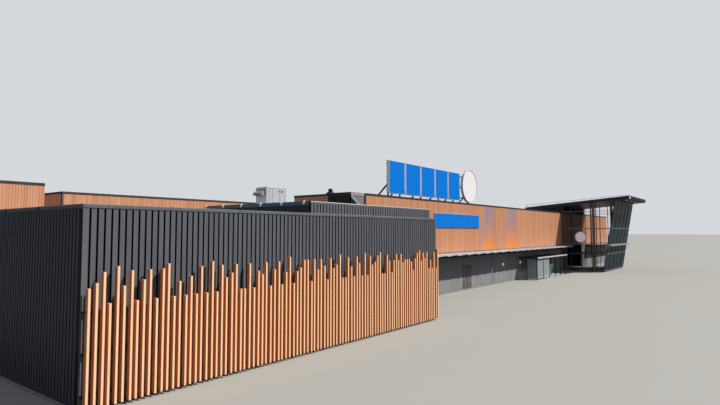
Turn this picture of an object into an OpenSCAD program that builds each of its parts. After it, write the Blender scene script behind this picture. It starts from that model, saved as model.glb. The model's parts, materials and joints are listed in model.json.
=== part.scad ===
// Supermarket: a long single-storey hall with a timber band over a panelled base wall,
// a ribbed service block behind a batten screen, and a leaning glass entrance under a wing roof.
// Every size is the real building's, in millimetres. The whole is drawn at one part in scale_ratio.
// X runs along the front from its left end, Y into the building from the front wall, Z up.

/* [Scale] */
// Real millimetres for each millimetre of the model
scale_ratio = 10; // [10, 20]

/* [Main hall] */
// Length of the whole front
front_l = 95000; // [94000:500:96000]
// Depth of the hall behind its front wall
hall_d = 47000; // [44000:500:48000]
// Height of the panelled base wall
base_h = 3470; // [3400:10:3600]
// Height of the parapet above the ground
parapet_h = 8100; // [8000:50:8300]
// Thickness of the outer walls
wall_t = 250; // [200:10:260]
// Height of the hall's roof deck
deck_z = 7300; // [7200:50:7500]
// Thickness of a roof deck
deck_t = 150; // [120:10:180]
// Thickness of the ground floor slab
slab_t = 100; // [80:10:120]
// Width of the metal coping on the parapets
coping_w = 330; // [310:10:360]
// Height of the coping
coping_h = 60; // [40:10:80]
// Left edge of the timber band on the front
band_x = 22100; // [22100:50:22300]

/* [Rear steps of the hall] */
// Distance back to the hall wall at the left end
step_a_y = 9900; // [9500:100:10500]
// Length of the hall wall at the left end
step_a_x = 5000; // [4500:100:5500]
// Left edge of the hall wall behind the service block
step_b_x = 8200; // [8000:100:8500]
// Distance back to the hall wall behind the service block
step_b_y = 15400; // [15000:100:16000]
// Distance back to the wall of the recess between those two walls
recess_y = 19000; // [18500:100:20000]
// Place of the wall that returns to the front
return_x = 20900; // [20800:50:20950]
// Distance back to the end of the parapet on that wall
return_d = 5950; // [5500:50:6000]
// Height of the kerb on the rest of it above the roof deck
kerb_h = 150; // [100:10:200]

/* [Service block] */
// Length of the service block along the front
service_l = 21700; // [21600:50:21800]
// Distance that it stands forward of the hall
service_d = 5800; // [5600:50:5850]
// Height of the service block with its cap
service_h = 6270; // [6200:10:6350]
// Height of the cap on its walls
cap_h = 150; // [130:10:200]
// Height of its roof deck
service_deck_z = 5990; // [5900:10:6050]
// Thickness of its walls with the ribs
service_wall_t = 200; // [180:10:220]

/* [Ribbed cladding] */
// Distance from rib to rib
rib_pitch = 227.5; // [220:0.5:240]
// Width of a rib's outer face
rib_w = 160; // [140:5:175]
// Depth of the grooves
rib_d = 60; // [40:5:70]
// Width of a rib's sloping flank
rib_flank = 10; // [5:5:15]

/* [Batten screen] */
// Width of a batten
batten_w = 75; // [60:5:80]
// Depth of a batten
batten_d = 165; // [150:5:180]
// Mean distance from batten to batten
batten_pitch = 221.5; // [220:0.5:224]
// How far a batten may stand off its even place
batten_shift = 24; // [0:2:30]
// Gap under the battens
batten_gap = 100; // [80:10:150]
// Height of the five lengths of batten above the ground
batten_tops = [3200, 3700, 3850, 4170, 4330];
// Depth of the rails behind the battens
rail_d = 155; // [155]
// Height of a rail
rail_h = 60; // [50:5:80]
// Heights of the rails above the ground
rail_z = [450, 1700, 2950];

/* [Roof screen] */
// Left edge of the screen on the service block
screen_x = 10550; // [10000:50:11000]
// Front face of the screen
screen_y = -5400; // [-5450:50:-5300]
// Rear face of the screen
screen_rear_y = 2800; // [2600:50:3000]
// Top of the screen
screen_h = 6860; // [6800:10:6950]
// Thickness of the screen
screen_t = 120; // [110:10:140]
// Height of the flat trim along its top
screen_trim = 100; // [80:10:120]
// Place of the first bracket behind the screen's front face
bracket_first = 430; // [400:10:460]
// Distance between its brackets
bracket_pitch = 1515; // [1480:5:1540]

/* [Hatch tower] */
// Left face of the tower at the corner of the hall
tower_x = 19900; // [19800:50:20000]
// Front face of the tower
tower_y = -400; // [-500:50:-300]
// Width of the tower
tower_w = 1400; // [1350:50:1500]
// Depth of the tower
tower_d = 2100; // [2000:50:2200]
// Thickness of its panels
tower_t = 120; // [110:10:140]
// Width of the diagonal brace on its front
brace_w = 110; // [90:10:130]
// Place of the roof fan beside it
cowl_at = [22400, 3600];

/* [Air handler] */
// Left face of the air handler
ahu_x = 23750; // [23500:50:24000]
// Front face of the air handler
ahu_y = 12200; // [12000:100:13000]
// Size of its casing
ahu_size = [2400, 1350, 1860];
// Height of its skids
skid_h = 200; // [150:10:250]

/* [Signs] */
// Left edge of the row of sign boxes on the roof
sign_x = 25230; // [25000:10:25500]
// Width of one sign box
sign_box_w = 2210; // [2180:5:2240]
// Gap between sign boxes
sign_gap = 180; // [150:10:200]
// Number of sign boxes
sign_count = 5; // [5]
// Underside of the sign boxes
sign_z = 8360; // [8300:20:8450]
// Height of a sign box
sign_h = 2550; // [2400:50:2600]
// Depth of a sign box
sign_d = 250; // [200:10:300]
// Diameter of the round white panel
panel_d = 3200; // [3100:50:3250]
// Place of its middle along the front, and its height
panel_at = [39200, 9820];
// Places of the posts of the sign's frame
sign_post_x = [25450, 27100, 30300, 33300, 36100, 39100];
// Left edge and underside of the board on the wall
board_at = [31750, 5800];
// Width, depth and height of the board on the wall
board_size = [8900, 90, 1250];

/* [Canopy] */
// How far the canopy stands out
canopy_d = 1500; // [1400:50:1600]
// Depth of its edge
canopy_t = 180; // [160:10:200]
// Top of the canopy
canopy_z = 3500; // [3450:10:3550]
// Distance from bracket to bracket
canopy_pitch = 1850; // [1800:10:1900]
// Place and width of the movement joint in the canopy
canopy_joint = [44750, 250];
// Depth and height of the ledge across the leaning front
ledge = [400, 200];

/* [Service door] */
// Left edge of the double door's opening
door_x = 37100; // [37000:50:37200]
// Width of the opening
door_w = 1800; // [1700:50:1900]
// Height of the opening above the ground
door_h = 2300; // [2200:50:2400]
// Width of the steel frame
door_frame = 60; // [50:5:70]
// Thickness of a leaf
leaf_t = 60; // [50:5:70]
// Working gap round the leaves
leaf_gap = 50; // [50:5:60]
// Radius of a hinge pin
pin_r = 12; // [11:1:14]
// Clearance round a hinge pin
pin_clear = 0.8; // [0.5:0.1:1]
// Radius of a hinge knuckle
knuckle_r = 24; // [22:1:25]
// Height of a hinge knuckle
knuckle_h = 120; // [100:10:140]
// Heights of the hinges above the ground
hinge_z = [400, 1200, 1950];

/* [Shelter] */
// Left and right ends of the shelter
shelter_x = [51400, 62200];
// Depth of the shelter
shelter_d = 2100; // [2000:50:2200]
// Distance from the wall to the shelter's rear posts
shelter_rear = 950; // [900:50:1000]
// Top of the shelter's roof
shelter_h = 2550; // [2500:50:2600]
// Thickness of the shelter's posts
shelter_post = 80; // [60:10:100]
// Number of bays
shelter_bays = 5; // [5]

/* [Entrance] */
// Left and right faces of the glass entrance
entrance_x = [68200, 80400];
// Distance to the foot of the leaning front glass
entrance_d = 5250; // [5000:50:5300]
// Outward lean of the front for each unit of height
lean = 0.17; // [0.15:0.01:0.18]
// Depth of the mullions
mullion_d = 150; // [120:10:160]
// Width of the mullions
mullion_w = 60; // [50:5:80]
// Thickness of the glass
glass_t = 30; // [25:5:40]
// Heights of the transoms
transom_z = [3650, 5870, 8200];
// Places of the mullions in the right side, which has no door
side_mullion_y = [-1150, -2250, -3400, -4500];
// Gap between the panes, and between the frames beside and over the door
pane_gap = 20; // [15:5:25]
// Rear and front jamb of the sliding door
slide_y = [-1200, -3800];
// Height of the sliding door above the ground
slide_h = 2400; // [2300:50:2500]
// Thickness of a sliding leaf
slide_t = 50; // [50:5:60]
// Side of the square columns
column_w = 310; // [280:10:350]
// Distance from the glass to the columns
column_in = 420; // [400:10:450]
// Front face of the columns
column_y = -4170; // [-4250:10:-4100]
// Left and right edges of the opening into the hall
inner_x = [70600, 78000];

/* [Wing roof] */
// Left and right edges of the wing roof
wing_x = [68100, 80500];
// Front edge of the wing roof
wing_front_y = -8650; // [-8700:50:-8500]
// Rear edge of the wing roof
wing_rear_y = 5200; // [5000:100:6000]
// Top of its front edge
wing_h = 10180; // [10000:10:10300]
// Fall of the roof to the rear for each unit of depth
wing_fall = 0.085; // [0.07:0.005:0.1]
// Depth of the roof
wing_t = 400; // [360:10:450]
// Thickness of the raised fascia at its front
fascia_t = 80; // [60:10:100]
// Thickness of the upstand walls under its rear part
upstand_t = 120; // [100:10:150]
// Height of the raised fascia above the roof
fascia_up = 40; // [30:5:60]
// Height of the guard rail above the roof at its front and at its rear end
guard_h = [110, 300];
// Thickness of the guard rail
guard_t = 40; // [40:5:60]

/* [Hidden] */
// Which of the five lengths each batten has, from the left end to the corner
batten_order = str("BCDAEBDACDA",
    "DEABACADAEADBCDAADACBDACDABEABCDDADBDCADBCEAADBADCAEADBCDEAADCACDCDBCCCBACDEBDCDABADAE");
batten_names = "ABCDE";
batten_first_x = 118.5;
hall_inner_y = wall_t;
rear_y = hall_d - wall_t;
right_x = front_l - wall_t;
service_inner_z = service_h - cap_h;
rail_y = -service_d - rail_d;
screen_z = service_deck_z;
cap_in_x = service_l - service_wall_t - 40;
tower_x1 = tower_x + tower_w;
tower_y1 = tower_y + tower_d;
leaf_w = (door_w - 2 * door_frame - 3 * leaf_gap) / 2;
hinge_in = door_frame + leaf_gap / 2;
hinge_y = -5;
lug_h = 30;
leaf_z = slab_t + leaf_gap;
leaf_h = door_h - door_frame - leaf_gap - leaf_z;
slide_leaf_w = (slide_y[0] - slide_y[1] - leaf_gap) / 2 + 50;
slide_x = entrance_x[0] + glass_t + mullion_d + leaf_gap;
track_x = slide_x + slide_t + leaf_gap;
sign_y = 150;
slide_frame = 60;
pane_t = 20;

// Puts the building at the model's scale, with the origin under the middle of its box
module model()
    scale(1 / scale_ratio)
        translate([-front_l / 2, -(wing_front_y + hall_d) / 2, 0])
            children();

// A block from its low corner to its high corner
module block(low, high)
    translate(low) cube(high - low);

// A YZ outline carried along X from x0 to x1
module along_x(x0, x1, outline)
    translate([x0, 0, 0]) rotate([90, 0, 90]) linear_extrude(x1 - x0) polygon(outline);

// Where the leaning front's outer face is at height z
function lean_y(z) = -entrance_d - lean * z;
// Underside of the wing roof at depth y
function under_z(y) = wing_h - wing_t - wing_fall * (y - wing_front_y);
// Height at which a leaning line, set back by off, meets the underside of the wing roof
function lean_top(off) =
    (wing_h - wing_t - wing_fall * (off - entrance_d - wing_front_y)) / (1 - wing_fall * lean);

// Plan outline of ribbed cladding, l long, with its ribs towards -Y and its back at y = t
function rib_plan(l, t, count) = concat(
    [[0, t], [0, rib_d]],
    [for (i = [0:count - 1], p = rib_points(i * l / count + l / count / 2)) p],
    [[l, rib_d], [l, t]]);
function rib_points(x) = [
    [x - rib_w / 2 - rib_flank, rib_d], [x - rib_w / 2, 0],
    [x + rib_w / 2, 0], [x + rib_w / 2 + rib_flank, rib_d]];

// A ribbed wall l long, h high and t thick
module ribbed_wall(l, t, h)
    linear_extrude(h) polygon(rib_plan(l, t, round(l / rib_pitch)));

// The ground floor: hall, service block and entrance in one slab
module floor_slab() color("#9A9A98") {
    block([0, 0, 0], [front_l, hall_d, slab_t]);
    block([0, -service_d, 0], [service_l, 0, slab_t]);
    along_x(entrance_x[0], entrance_x[1],
        [[lean_y(0), 0], [0, 0], [0, slab_t], [lean_y(slab_t), slab_t]]);
}

// Panelled base wall of the front, left open at the service door and into the entrance
module base_wall() color("#9A9A9C") {
    block([return_x, 0, slab_t], [door_x, wall_t, base_h]);
    block([door_x + door_w, 0, slab_t], [inner_x[0], wall_t, base_h]);
    block([inner_x[1], 0, slab_t], [front_l, wall_t, base_h]);
}

// Base wall over the service door
module wall_over_door() color("#9A9A9C")
    block([door_x, 0, door_h], [door_x + door_w, wall_t, base_h]);

// Timber band over the base wall, along the whole front
module front_band() color("#D4936C")
    block([band_x, 0, base_h], [front_l, wall_t, parapet_h]);

// Base wall of the left end, the rear and the right end
module outer_walls() color("#9A9A9C")
    outer_walls_between(slab_t, base_h);

// Timber band of the left end, the rear and the right end
module outer_band() color("#D4936C")
    outer_walls_between(base_h, parapet_h);

module outer_walls_between(z0, z1) {
    block([0, step_a_y + wall_t, z0], [wall_t, rear_y, z1]);
    block([0, rear_y, z0], [front_l, hall_d, z1]);
    block([right_x, wall_t, z0], [front_l, rear_y, z1]);
}

// Infill between the tower and the timber band, and under the tower
module corner_infill() color("#2A2C30") {
    block([tower_x1, 0, base_h], [band_x, wall_t, parapet_h]);
    block([return_x, 0, base_h], [tower_x1, wall_t, service_deck_z - deck_t]);
}

// Hall wall behind the service block, up to the service roof
module step_wall() color("#B0B0AE") {
    step_walls_between(slab_t, service_deck_z - deck_t);
    block([return_x, wall_t, slab_t], [return_x + wall_t, step_b_y + wall_t, service_deck_z - deck_t]);
}

// The same wall above the service roof: a parapet beside the hatch tower, a low kerb behind it,
// and a parapet that runs on over the hall's deck
module step_band() color("#D4936C") {
    z0 = service_deck_z - deck_t;
    step_walls_between(z0, parapet_h);
    block([return_x, tower_y1, z0], [return_x + wall_t, return_d, parapet_h]);
    block([return_x, return_d, z0], [return_x + wall_t, step_b_y, deck_z + kerb_h]);
    block([return_x + wall_t, step_b_y, deck_z], [right_x, step_b_y + wall_t, parapet_h]);
}

module step_walls_between(z0, z1) {
    block([0, step_a_y, z0], [step_a_x, step_a_y + wall_t, z1]);
    block([step_a_x - wall_t, step_a_y, z0], [step_a_x, recess_y + wall_t, z1]);
    block([step_a_x, recess_y, z0], [step_b_x + wall_t, recess_y + wall_t, z1]);
    block([step_b_x, step_b_y, z0], [step_b_x + wall_t, recess_y + wall_t, z1]);
    block([step_b_x, step_b_y, z0], [return_x + wall_t, step_b_y + wall_t, z1]);
}

// Roof deck of the hall, inside the parapets
module hall_roof() color("#6E7074")
    translate([0, 0, deck_z - deck_t]) linear_extrude(deck_t) polygon([
        [tower_x1, wall_t], [right_x, wall_t], [right_x, rear_y], [wall_t, rear_y],
        [wall_t, step_a_y + wall_t], [step_a_x - wall_t, step_a_y + wall_t],
        [step_a_x - wall_t, recess_y + wall_t], [step_b_x + wall_t, recess_y + wall_t],
        [step_b_x + wall_t, step_b_y + wall_t],
        [return_x + wall_t, step_b_y + wall_t], [return_x + wall_t, tower_y1], [tower_x1, tower_y1]]);

// Roof deck of the service block
module service_roof() color("#5C5F63")
    translate([0, 0, service_deck_z - deck_t]) linear_extrude(deck_t) polygon([
        [service_wall_t, -service_d + service_wall_t],
        [service_l - service_wall_t, -service_d + service_wall_t],
        [service_l - service_wall_t, 0], [tower_x1, 0], [tower_x1, tower_y1],
        [return_x, tower_y1], [return_x, step_b_y], [step_b_x, step_b_y], [step_b_x, recess_y],
        [step_a_x, recess_y], [step_a_x, step_a_y], [service_wall_t, step_a_y]]);

// Metal coping along the parapets, proud of the walls on their inner side
module coping() color("#3A3532") {
    in = coping_w - wall_t;
    t = wall_t;
    coping_run([band_x, 0], [front_l, t], 0, in);
    coping_run([right_x, 0], [front_l, hall_d], -in, 0);
    coping_run([0, rear_y], [front_l, hall_d], 0, -in);
    coping_run([0, step_a_y], [t, hall_d], in, 0);
    coping_run([0, step_a_y], [step_a_x, step_a_y + t], 0, in);
    coping_run([step_a_x - t, step_a_y], [step_a_x, recess_y + t], -in, 0);
    coping_run([step_a_x - t, recess_y], [step_b_x + t, recess_y + t], 0, in);
    coping_run([step_b_x, step_b_y], [step_b_x + t, recess_y + t], in, 0);
    coping_run([step_b_x, step_b_y], [right_x, step_b_y + t], 0, in);
    coping_run([return_x, tower_y1], [return_x + t, return_d], in, 0);
}

// Coping over one wall from its low to its high corner, widened by in_x and in_y
module coping_run(low, high, in_x, in_y)
    block([low[0] + min(in_x, 0), low[1] + min(in_y, 0), parapet_h],
        [high[0] + max(in_x, 0), high[1] + max(in_y, 0), parapet_h + coping_h]);

// Ribbed front wall of the service block
module service_front_wall() color("#5A5E62")
    translate([0, -service_d, slab_t])
        ribbed_wall(service_l, service_wall_t, service_inner_z - slab_t);

// Ribbed left wall, and the short right wall that runs back to the hall
module service_side_walls() color("#3A3D42") {
    h = service_inner_z - slab_t;
    left_l = step_a_y + service_d - service_wall_t;
    right_y = -service_d + service_wall_t;
    translate([0, step_a_y, slab_t]) rotate([0, 0, -90]) ribbed_wall(left_l, service_wall_t, h);
    translate([service_l, right_y, slab_t]) rotate([0, 0, 90])
        ribbed_wall(tower_y - right_y, service_wall_t, h);
    block([service_l - service_wall_t, tower_y, slab_t], [service_l, 0, service_deck_z]);
}

// Metal cap on the service block's walls
module service_cap() color("#6A6E72") {
    z = [service_inner_z, service_h];
    block([0, -service_d - 20, z[0]], [service_l + 20, -service_d + service_wall_t + 40, z[1]]);
    block([0, -service_d, z[0]], [service_wall_t + 40, step_a_y, z[1]]);
    block([cap_in_x, -service_d, z[0]], [service_l + 20, tower_y, z[1]]);
}

// Three rails that carry the battens
module batten_rails() color("#2A2D33")
    for (z = rail_z)
        block([batten_first_x - batten_w, rail_y, z], [service_l, -service_d, z + rail_h]);

// Place of a batten: even, and then shifted a little to either side
function batten_x(i) = batten_first_x + i * batten_pitch + batten_shift * sin(i * 137) * cos(i * 61);

// Upright battens in five lengths, in an irregular order
module battens() color("#D08A5E")
    for (i = [0:len(batten_order) - 1]) {
        top = batten_tops[search(batten_order[i], batten_names)[0]];
        block([batten_x(i) - batten_w / 2, rail_y - batten_d, batten_gap],
            [batten_x(i) + batten_w / 2, rail_y, top]);
    }

// Front of the ribbed screen on the service block's roof, cut over the block's right wall
module roof_screen_front() color("#5A5E62") difference() {
    translate([screen_x, screen_y, screen_z]) union() {
        ribbed_wall(service_l - screen_x, screen_t, screen_h - screen_trim - screen_z);
        translate([0, 0, screen_h - screen_trim - screen_z])
            cube([service_l - screen_x, screen_t, screen_trim]);
    }
    block([cap_in_x, screen_y - 1, screen_z - 1], [service_l + 1, screen_y + screen_t + 1, service_h]);
}

// Its plain left and rear sides, and the right side that stands on the cap
module roof_screen_sides() color("#24303F") {
    y0 = screen_y + screen_t;
    block([screen_x, y0, screen_z], [screen_x + screen_t, screen_rear_y, screen_h]);
    block([screen_x, screen_rear_y - screen_t, screen_z], [return_x, screen_rear_y, screen_h]);
    block([service_l - screen_t, y0, service_h], [service_l, tower_y, screen_h]);
}

// White brackets on the top edge of the screen's left side
module screen_brackets() color("#E8E8E8")
    for (i = [0:5])
        translate([screen_x, screen_y + bracket_first + i * bracket_pitch, screen_h]) {
            block([-60, -30, -160], [0, 30, 30]);
            block([-60, -30, 0], [screen_t / 2, 30, 30]);
        }

// Tower over the hatch at the corner of the hall: ribbed on its left, braced on its front
module hatch_tower() color("#8A8C8E") {
    t = tower_t;
    z = [service_deck_z, parapet_h - t];
    block([tower_x, tower_y, z[0]], [tower_x1, tower_y + t, z[1]]);
    translate([tower_x, tower_y1, z[0]]) rotate([0, 0, -90]) ribbed_wall(tower_d - t, t, z[1] - z[0]);
    block([tower_x + t, tower_y1 - t, z[0]], [tower_x1, tower_y1, z[1]]);
    block([tower_x1 - t, tower_y + t, z[0]], [tower_x1, tower_y1 - t, z[1]]);
    block([tower_x - 20, tower_y - 20, z[1]], [tower_x1, tower_y1, parapet_h]);
    rise = z[1] - z[0];
    translate([0, tower_y, 0]) rotate([90, 0, 0]) linear_extrude(20) polygon([
        [tower_x, z[1]], [tower_x, z[1] - brace_w], [tower_x1 - brace_w, z[1] - rise],
        [tower_x1, z[1] - rise], [tower_x1, z[1] - rise + brace_w], [tower_x + brace_w, z[1]]]);
}

// Small roof fan beside the tower
module roof_cowl() color("#2B2D31")
    translate([cowl_at[0], cowl_at[1], deck_z]) {
        cylinder(h = 850, d = 560, $fn = 32);
        translate([0, 0, 850]) cylinder(h = 300, d1 = 1100, d2 = 420, $fn = 32);
        translate([0, 0, 1150]) cylinder(h = 230, d = 330, $fn = 32);
    }

// Casing of the air handler on its skids
module air_handler() color("#C8CAD0")
    translate([ahu_x, ahu_y, deck_z]) {
        translate([0, 0, skid_h]) cube(ahu_size);
        for (y = [150, ahu_size[1] - 270])
            translate([60, y, 0]) cube([ahu_size[0] - 120, 120, skid_h]);
    }

// Intake hood on the air handler's left side
module intake_hood() color("#8A8890") {
    z = deck_z + skid_h + ahu_size[2];
    x = ahu_x - 500;
    for (y = [ahu_y + 150, ahu_y + ahu_size[1] - 180])
        translate([0, y + 30, 0]) rotate([90, 0, 0]) linear_extrude(30)
            polygon([[ahu_x, z - 200], [x, z - 550], [x, z - 700], [ahu_x, z - 780]]);
    translate([0, ahu_y + ahu_size[1] - 180, 0]) rotate([90, 0, 0]) linear_extrude(ahu_size[1] - 360)
        polygon([[ahu_x, z - 200], [x, z - 550], [x, z - 700], [x + 40, z - 700], [x + 40, z - 575],
            [ahu_x, z - 245]]);
}

// Steel frame that carries the roof sign, on legs and back struts
module sign_frame() color("#4A4E54") {
    y = sign_y + sign_d;
    for (z = [sign_z + 250, sign_z + 1250, sign_z + 2250])
        block([sign_x + 100, y, z], [panel_at[0], y + 100, z + 100]);
    for (x = sign_post_x) {
        block([x, y, deck_z], [x + 100, y + 100, sign_z + 2350]);
        along_x(x, x + 100,
            [[y + 100, sign_z + 800], [y + 100, sign_z + 660], [y + 1900, deck_z], [y + 2050, deck_z]]);
    }
}

// Row of plain sign boxes
module sign_boxes() color("#0A86F0")
    for (i = [0:sign_count - 1])
        translate([sign_x + i * (sign_box_w + sign_gap), sign_y, sign_z])
            cube([sign_box_w, sign_d, sign_h]);

// Plain round white panel at the end of the row
module sign_panel_white() color("#F2F2F2")
    translate([panel_at[0], sign_y, panel_at[1]]) rotate([-90, 0, 0])
        cylinder(h = sign_d, d = panel_d, $fn = 72);

// Plain board on the timber band
module wall_sign_board() color("#0A86F0")
    translate([board_at[0], -board_size[1], board_at[1]]) cube(board_size);

// Flat canopy along the front on both sides of the entrance, and the ledge across the leaning front
module canopy() color("#C8C8CC") {
    canopy_run(service_l + 40, canopy_joint[0]);
    canopy_run(canopy_joint[0] + canopy_joint[1], entrance_x[0] - 20);
    canopy_run(entrance_x[1] + 20, front_l);
    z0 = canopy_z;
    z1 = z0 + ledge[1];
    y = lean_y(z0) - glass_t - ledge[0];
    along_x(entrance_x[0], entrance_x[1],
        [[y, z0], [lean_y(z0) - glass_t, z0], [lean_y(z1) - glass_t, z1], [y, z1]]);
}

module canopy_run(x0, x1) block([x0, -canopy_d, canopy_z - canopy_t], [x1, 0, canopy_z]);

// Tapered steel brackets under the canopy
module canopy_brackets() color("#5C5E62") {
    bracket_run(service_l + 900, canopy_joint[0] - 200);
    bracket_run(canopy_joint[0] + canopy_joint[1] + 1000, entrance_x[0] - 300);
    bracket_run(entrance_x[1] + 900, front_l - 300);
}

module bracket_run(x0, x1)
    for (x = [x0:canopy_pitch:x1])
        along_x(x, x + 60, [
            [0, canopy_z - canopy_t], [-canopy_d + 150, canopy_z - canopy_t],
            [-canopy_d + 150, canopy_z - canopy_t - 50], [0, canopy_z - canopy_t - 260]]);

// Steel frame of the double door
module service_door_frame() color("#3A3A3E") {
    x1 = door_x + door_w;
    block([door_x, 0, slab_t], [door_x + door_frame, wall_t, door_h]);
    block([x1 - door_frame, 0, slab_t], [x1, wall_t, door_h]);
    block([door_x + door_frame, 0, door_h - door_frame], [x1 - door_frame, wall_t, door_h]);
    for (side = [0, 1], z = hinge_z)
        at_hinge(side, z) {
            cylinder(h = knuckle_h + 2 * (lug_h + 10), r = pin_r, $fn = 24);
            for (lug = [0, knuckle_h + lug_h + 20])
                translate([0, 0, lug]) hinge_lug(-leaf_gap / 2 - 20);
        }
}

// Turns a hinge part, drawn for the left leaf, to either side of the door
module at_hinge(side, z)
    translate([side == 0 ? door_x + hinge_in : door_x + door_w - hinge_in, hinge_y - knuckle_r,
        z - knuckle_h / 2 - lug_h - 10])
        mirror([side, 0, 0]) children();

// A knuckle's end with its strap to the door frame, lug_h high
module hinge_lug(reach) {
    cylinder(h = lug_h, r = knuckle_r, $fn = 32);
    translate([reach, -pin_r / 2, 0]) cube([-reach, knuckle_r + pin_r / 2 - hinge_y, lug_h]);
}

// Left and right leaves, flush with the wall's outer face, on their hinge pins
module service_door_left() color("#5A4A4C")
    service_leaf(0);

module service_door_right() color("#5A4A4C")
    service_leaf(1);

module service_leaf(side) {
    x = side == 0 ? door_x + door_frame + leaf_gap : door_x + door_w - door_frame - leaf_gap - leaf_w;
    block([x, 0, leaf_z], [x + leaf_w, leaf_t, leaf_z + leaf_h]);
    for (z = hinge_z)
        at_hinge(side, z) translate([0, 0, lug_h + 10]) difference() {
            union() {
                cylinder(h = knuckle_h, r = knuckle_r, $fn = 32);
                translate([0, -pin_r / 2, 0])
                    cube([leaf_gap / 2 + 60, knuckle_r + pin_r / 2 - hinge_y, knuckle_h]);
            }
            translate([0, 0, -1]) cylinder(h = knuckle_h + 2, r = pin_r + pin_clear, $fn = 24);
        }
}

// Posts and beams of the shelter
module shelter_frame() color("#3A3C40") {
    l = shelter_x[1] - shelter_x[0] - shelter_post;
    top = shelter_h - 150;
    for (i = [0:shelter_bays], y = [-shelter_d, -shelter_rear])
        translate([shelter_x[0] + i * l / shelter_bays, y, 0]) cube([shelter_post, shelter_post, top]);
    for (y = [-shelter_d, -shelter_rear])
        block([shelter_x[0], y, top - shelter_post], [shelter_x[1], y + shelter_post, top]);
}

// Flat roof of the shelter
module shelter_roof() color("#D8D8DA")
    block([shelter_x[0] - 150, -shelter_d - 150, shelter_h - 150], [shelter_x[1] + 150, 0, shelter_h]);

// Glass of the shelter's left end and of its first bays
module shelter_glass() color("#A8C8D0", 0.4) {
    top = shelter_h - 150 - shelter_post;
    l = (shelter_x[1] - shelter_x[0] - shelter_post) / shelter_bays;
    block([shelter_x[0] + 25, -shelter_d + shelter_post, 150], [shelter_x[0] + 55, -shelter_rear, top]);
    for (i = [0:1])
        block([shelter_x[0] + i * l + shelter_post, -shelter_d + 25, 150],
            [shelter_x[0] + (i + 1) * l, -shelter_d + 55, top]);
}

// Upright of a side frame from z0 up to the wing roof, w wide from y towards the rear
module side_upright(x, y, w, z0)
    along_x(x, x + mullion_d, [[y, z0], [y + w, z0], [y + w, under_z(y + w)], [y, under_z(y)]]);

// Leaning corner post of a side frame
module side_corner(x) {
    b = mullion_w;
    along_x(x, x + mullion_d, [[lean_y(slab_t), slab_t], [lean_y(slab_t) + b, slab_t],
        [b + lean_y(lean_top(b)), lean_top(b)], [lean_y(lean_top(0)), lean_top(0)]]);
}

// Frames of the entrance's two sides. The left one is split beside and over its doorway
module side_glazing_frames() color("#2C2A33") {
    x0 = entrance_x[0] + glass_t;
    g = pane_gap / 2;
    over = [slide_y[1] + g, slide_y[0] - g];
    front_part(x0, slide_y[1] - g, [side_mullion_y[3], slide_y[1] - g - mullion_w]);
    side_part(x0, over[0], over[1], slide_h,
        [over[0], (over[0] + over[1] - mullion_w) / 2, over[1] - mullion_w]);
    side_part(x0, slide_y[0] + g, 0, slab_t, [slide_y[0] + g, -mullion_w]);
    front_part(entrance_x[1] - glass_t - mullion_d, 0, concat(side_mullion_y, [-mullion_w]));
}

// The part of a side frame from the leaning corner to y1, with uprights at the places in ys
module front_part(x, y1, ys) {
    side_corner(x);
    for (y = ys)
        side_upright(x, y, mullion_w, slab_t);
    for (z = concat(transom_z, [slide_h]))
        block([x, lean_y(z) + mullion_w, z], [x + mullion_d, y1, z + mullion_w]);
}

// A part of a side frame between two uprights, from z0 up
module side_part(x, y0, y1, z0, ys) {
    for (y = ys)
        side_upright(x, y, mullion_w, z0);
    for (z = concat(transom_z, [slide_h]))
        block([x, y0, z], [x + mullion_d, y1, z + mullion_w]);
}

// Glass of the two sides, with a gap beside and over the sliding door
module side_glass() color("#8FB0B8", 0.35) {
    g = pane_gap / 2;
    over = [slide_y[1] + g, slide_y[0] - g];
    front_sheet(entrance_x[0], slide_y[1] - g);
    side_sheet(entrance_x[0], over[0], over[1], slide_h);
    side_sheet(entrance_x[0], slide_y[0] + g, 0, slab_t);
    front_sheet(entrance_x[1] - glass_t, 0);
}

// A sheet of side glass from the leaning corner to y1
module front_sheet(x, y1)
    along_x(x, x + glass_t, [[lean_y(slab_t), slab_t], [y1, slab_t], [y1, under_z(y1)],
        [lean_y(lean_top(0)), lean_top(0)]]);

// A sheet of side glass between y0 and y1, from z0 up
module side_sheet(x, y0, y1, z0)
    along_x(x, x + glass_t, [[y0, z0], [y1, z0], [y1, under_z(y1)], [y0, under_z(y0)]]);

// A leaning bar or sheet of the front, from z0 to z1 and from offset a to b behind the outer line
module lean_bar(x0, x1, z0, z1, a, b)
    along_x(x0, x1, [[lean_y(z0) + a, z0], [lean_y(z0) + b, z0], [lean_y(z1) + b, z1], [lean_y(z1) + a, z1]]);

// Frame of the leaning front: five bays, with a transom at each height
module front_glazing_frame() color("#2C2A33") {
    x0 = entrance_x[0] + glass_t + mullion_d;
    x1 = entrance_x[1] - glass_t - mullion_d;
    for (i = [1:4]) {
        x = x0 + i * (x1 - x0) / 5 - mullion_w / 2;
        along_x(x, x + mullion_w, [[lean_y(slab_t), slab_t], [lean_y(slab_t) + mullion_d, slab_t],
            [mullion_d + lean_y(lean_top(mullion_d)), lean_top(mullion_d)],
            [lean_y(lean_top(0)), lean_top(0)]]);
    }
    for (z = concat([slab_t, slide_h], transom_z))
        lean_bar(x0, x1, z, z + mullion_w, 0, mullion_d);
}

// Glass of the leaning front
module front_glass() color("#8FB0B8", 0.35)
    along_x(entrance_x[0], entrance_x[1], [
        [lean_y(0) - glass_t, 0], [lean_y(0), 0],
        [lean_y(lean_top(0)), lean_top(0)], [lean_y(lean_top(-glass_t)) - glass_t, lean_top(-glass_t)]]);

// Head box over the sliding door, with the track inside
module sliding_door_head() color("#3A3A3E")
    block([slide_x - leaf_gap, lean_y(slide_h) + 300, slide_h + 20], [track_x, -100, slide_h + 240]);

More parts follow.
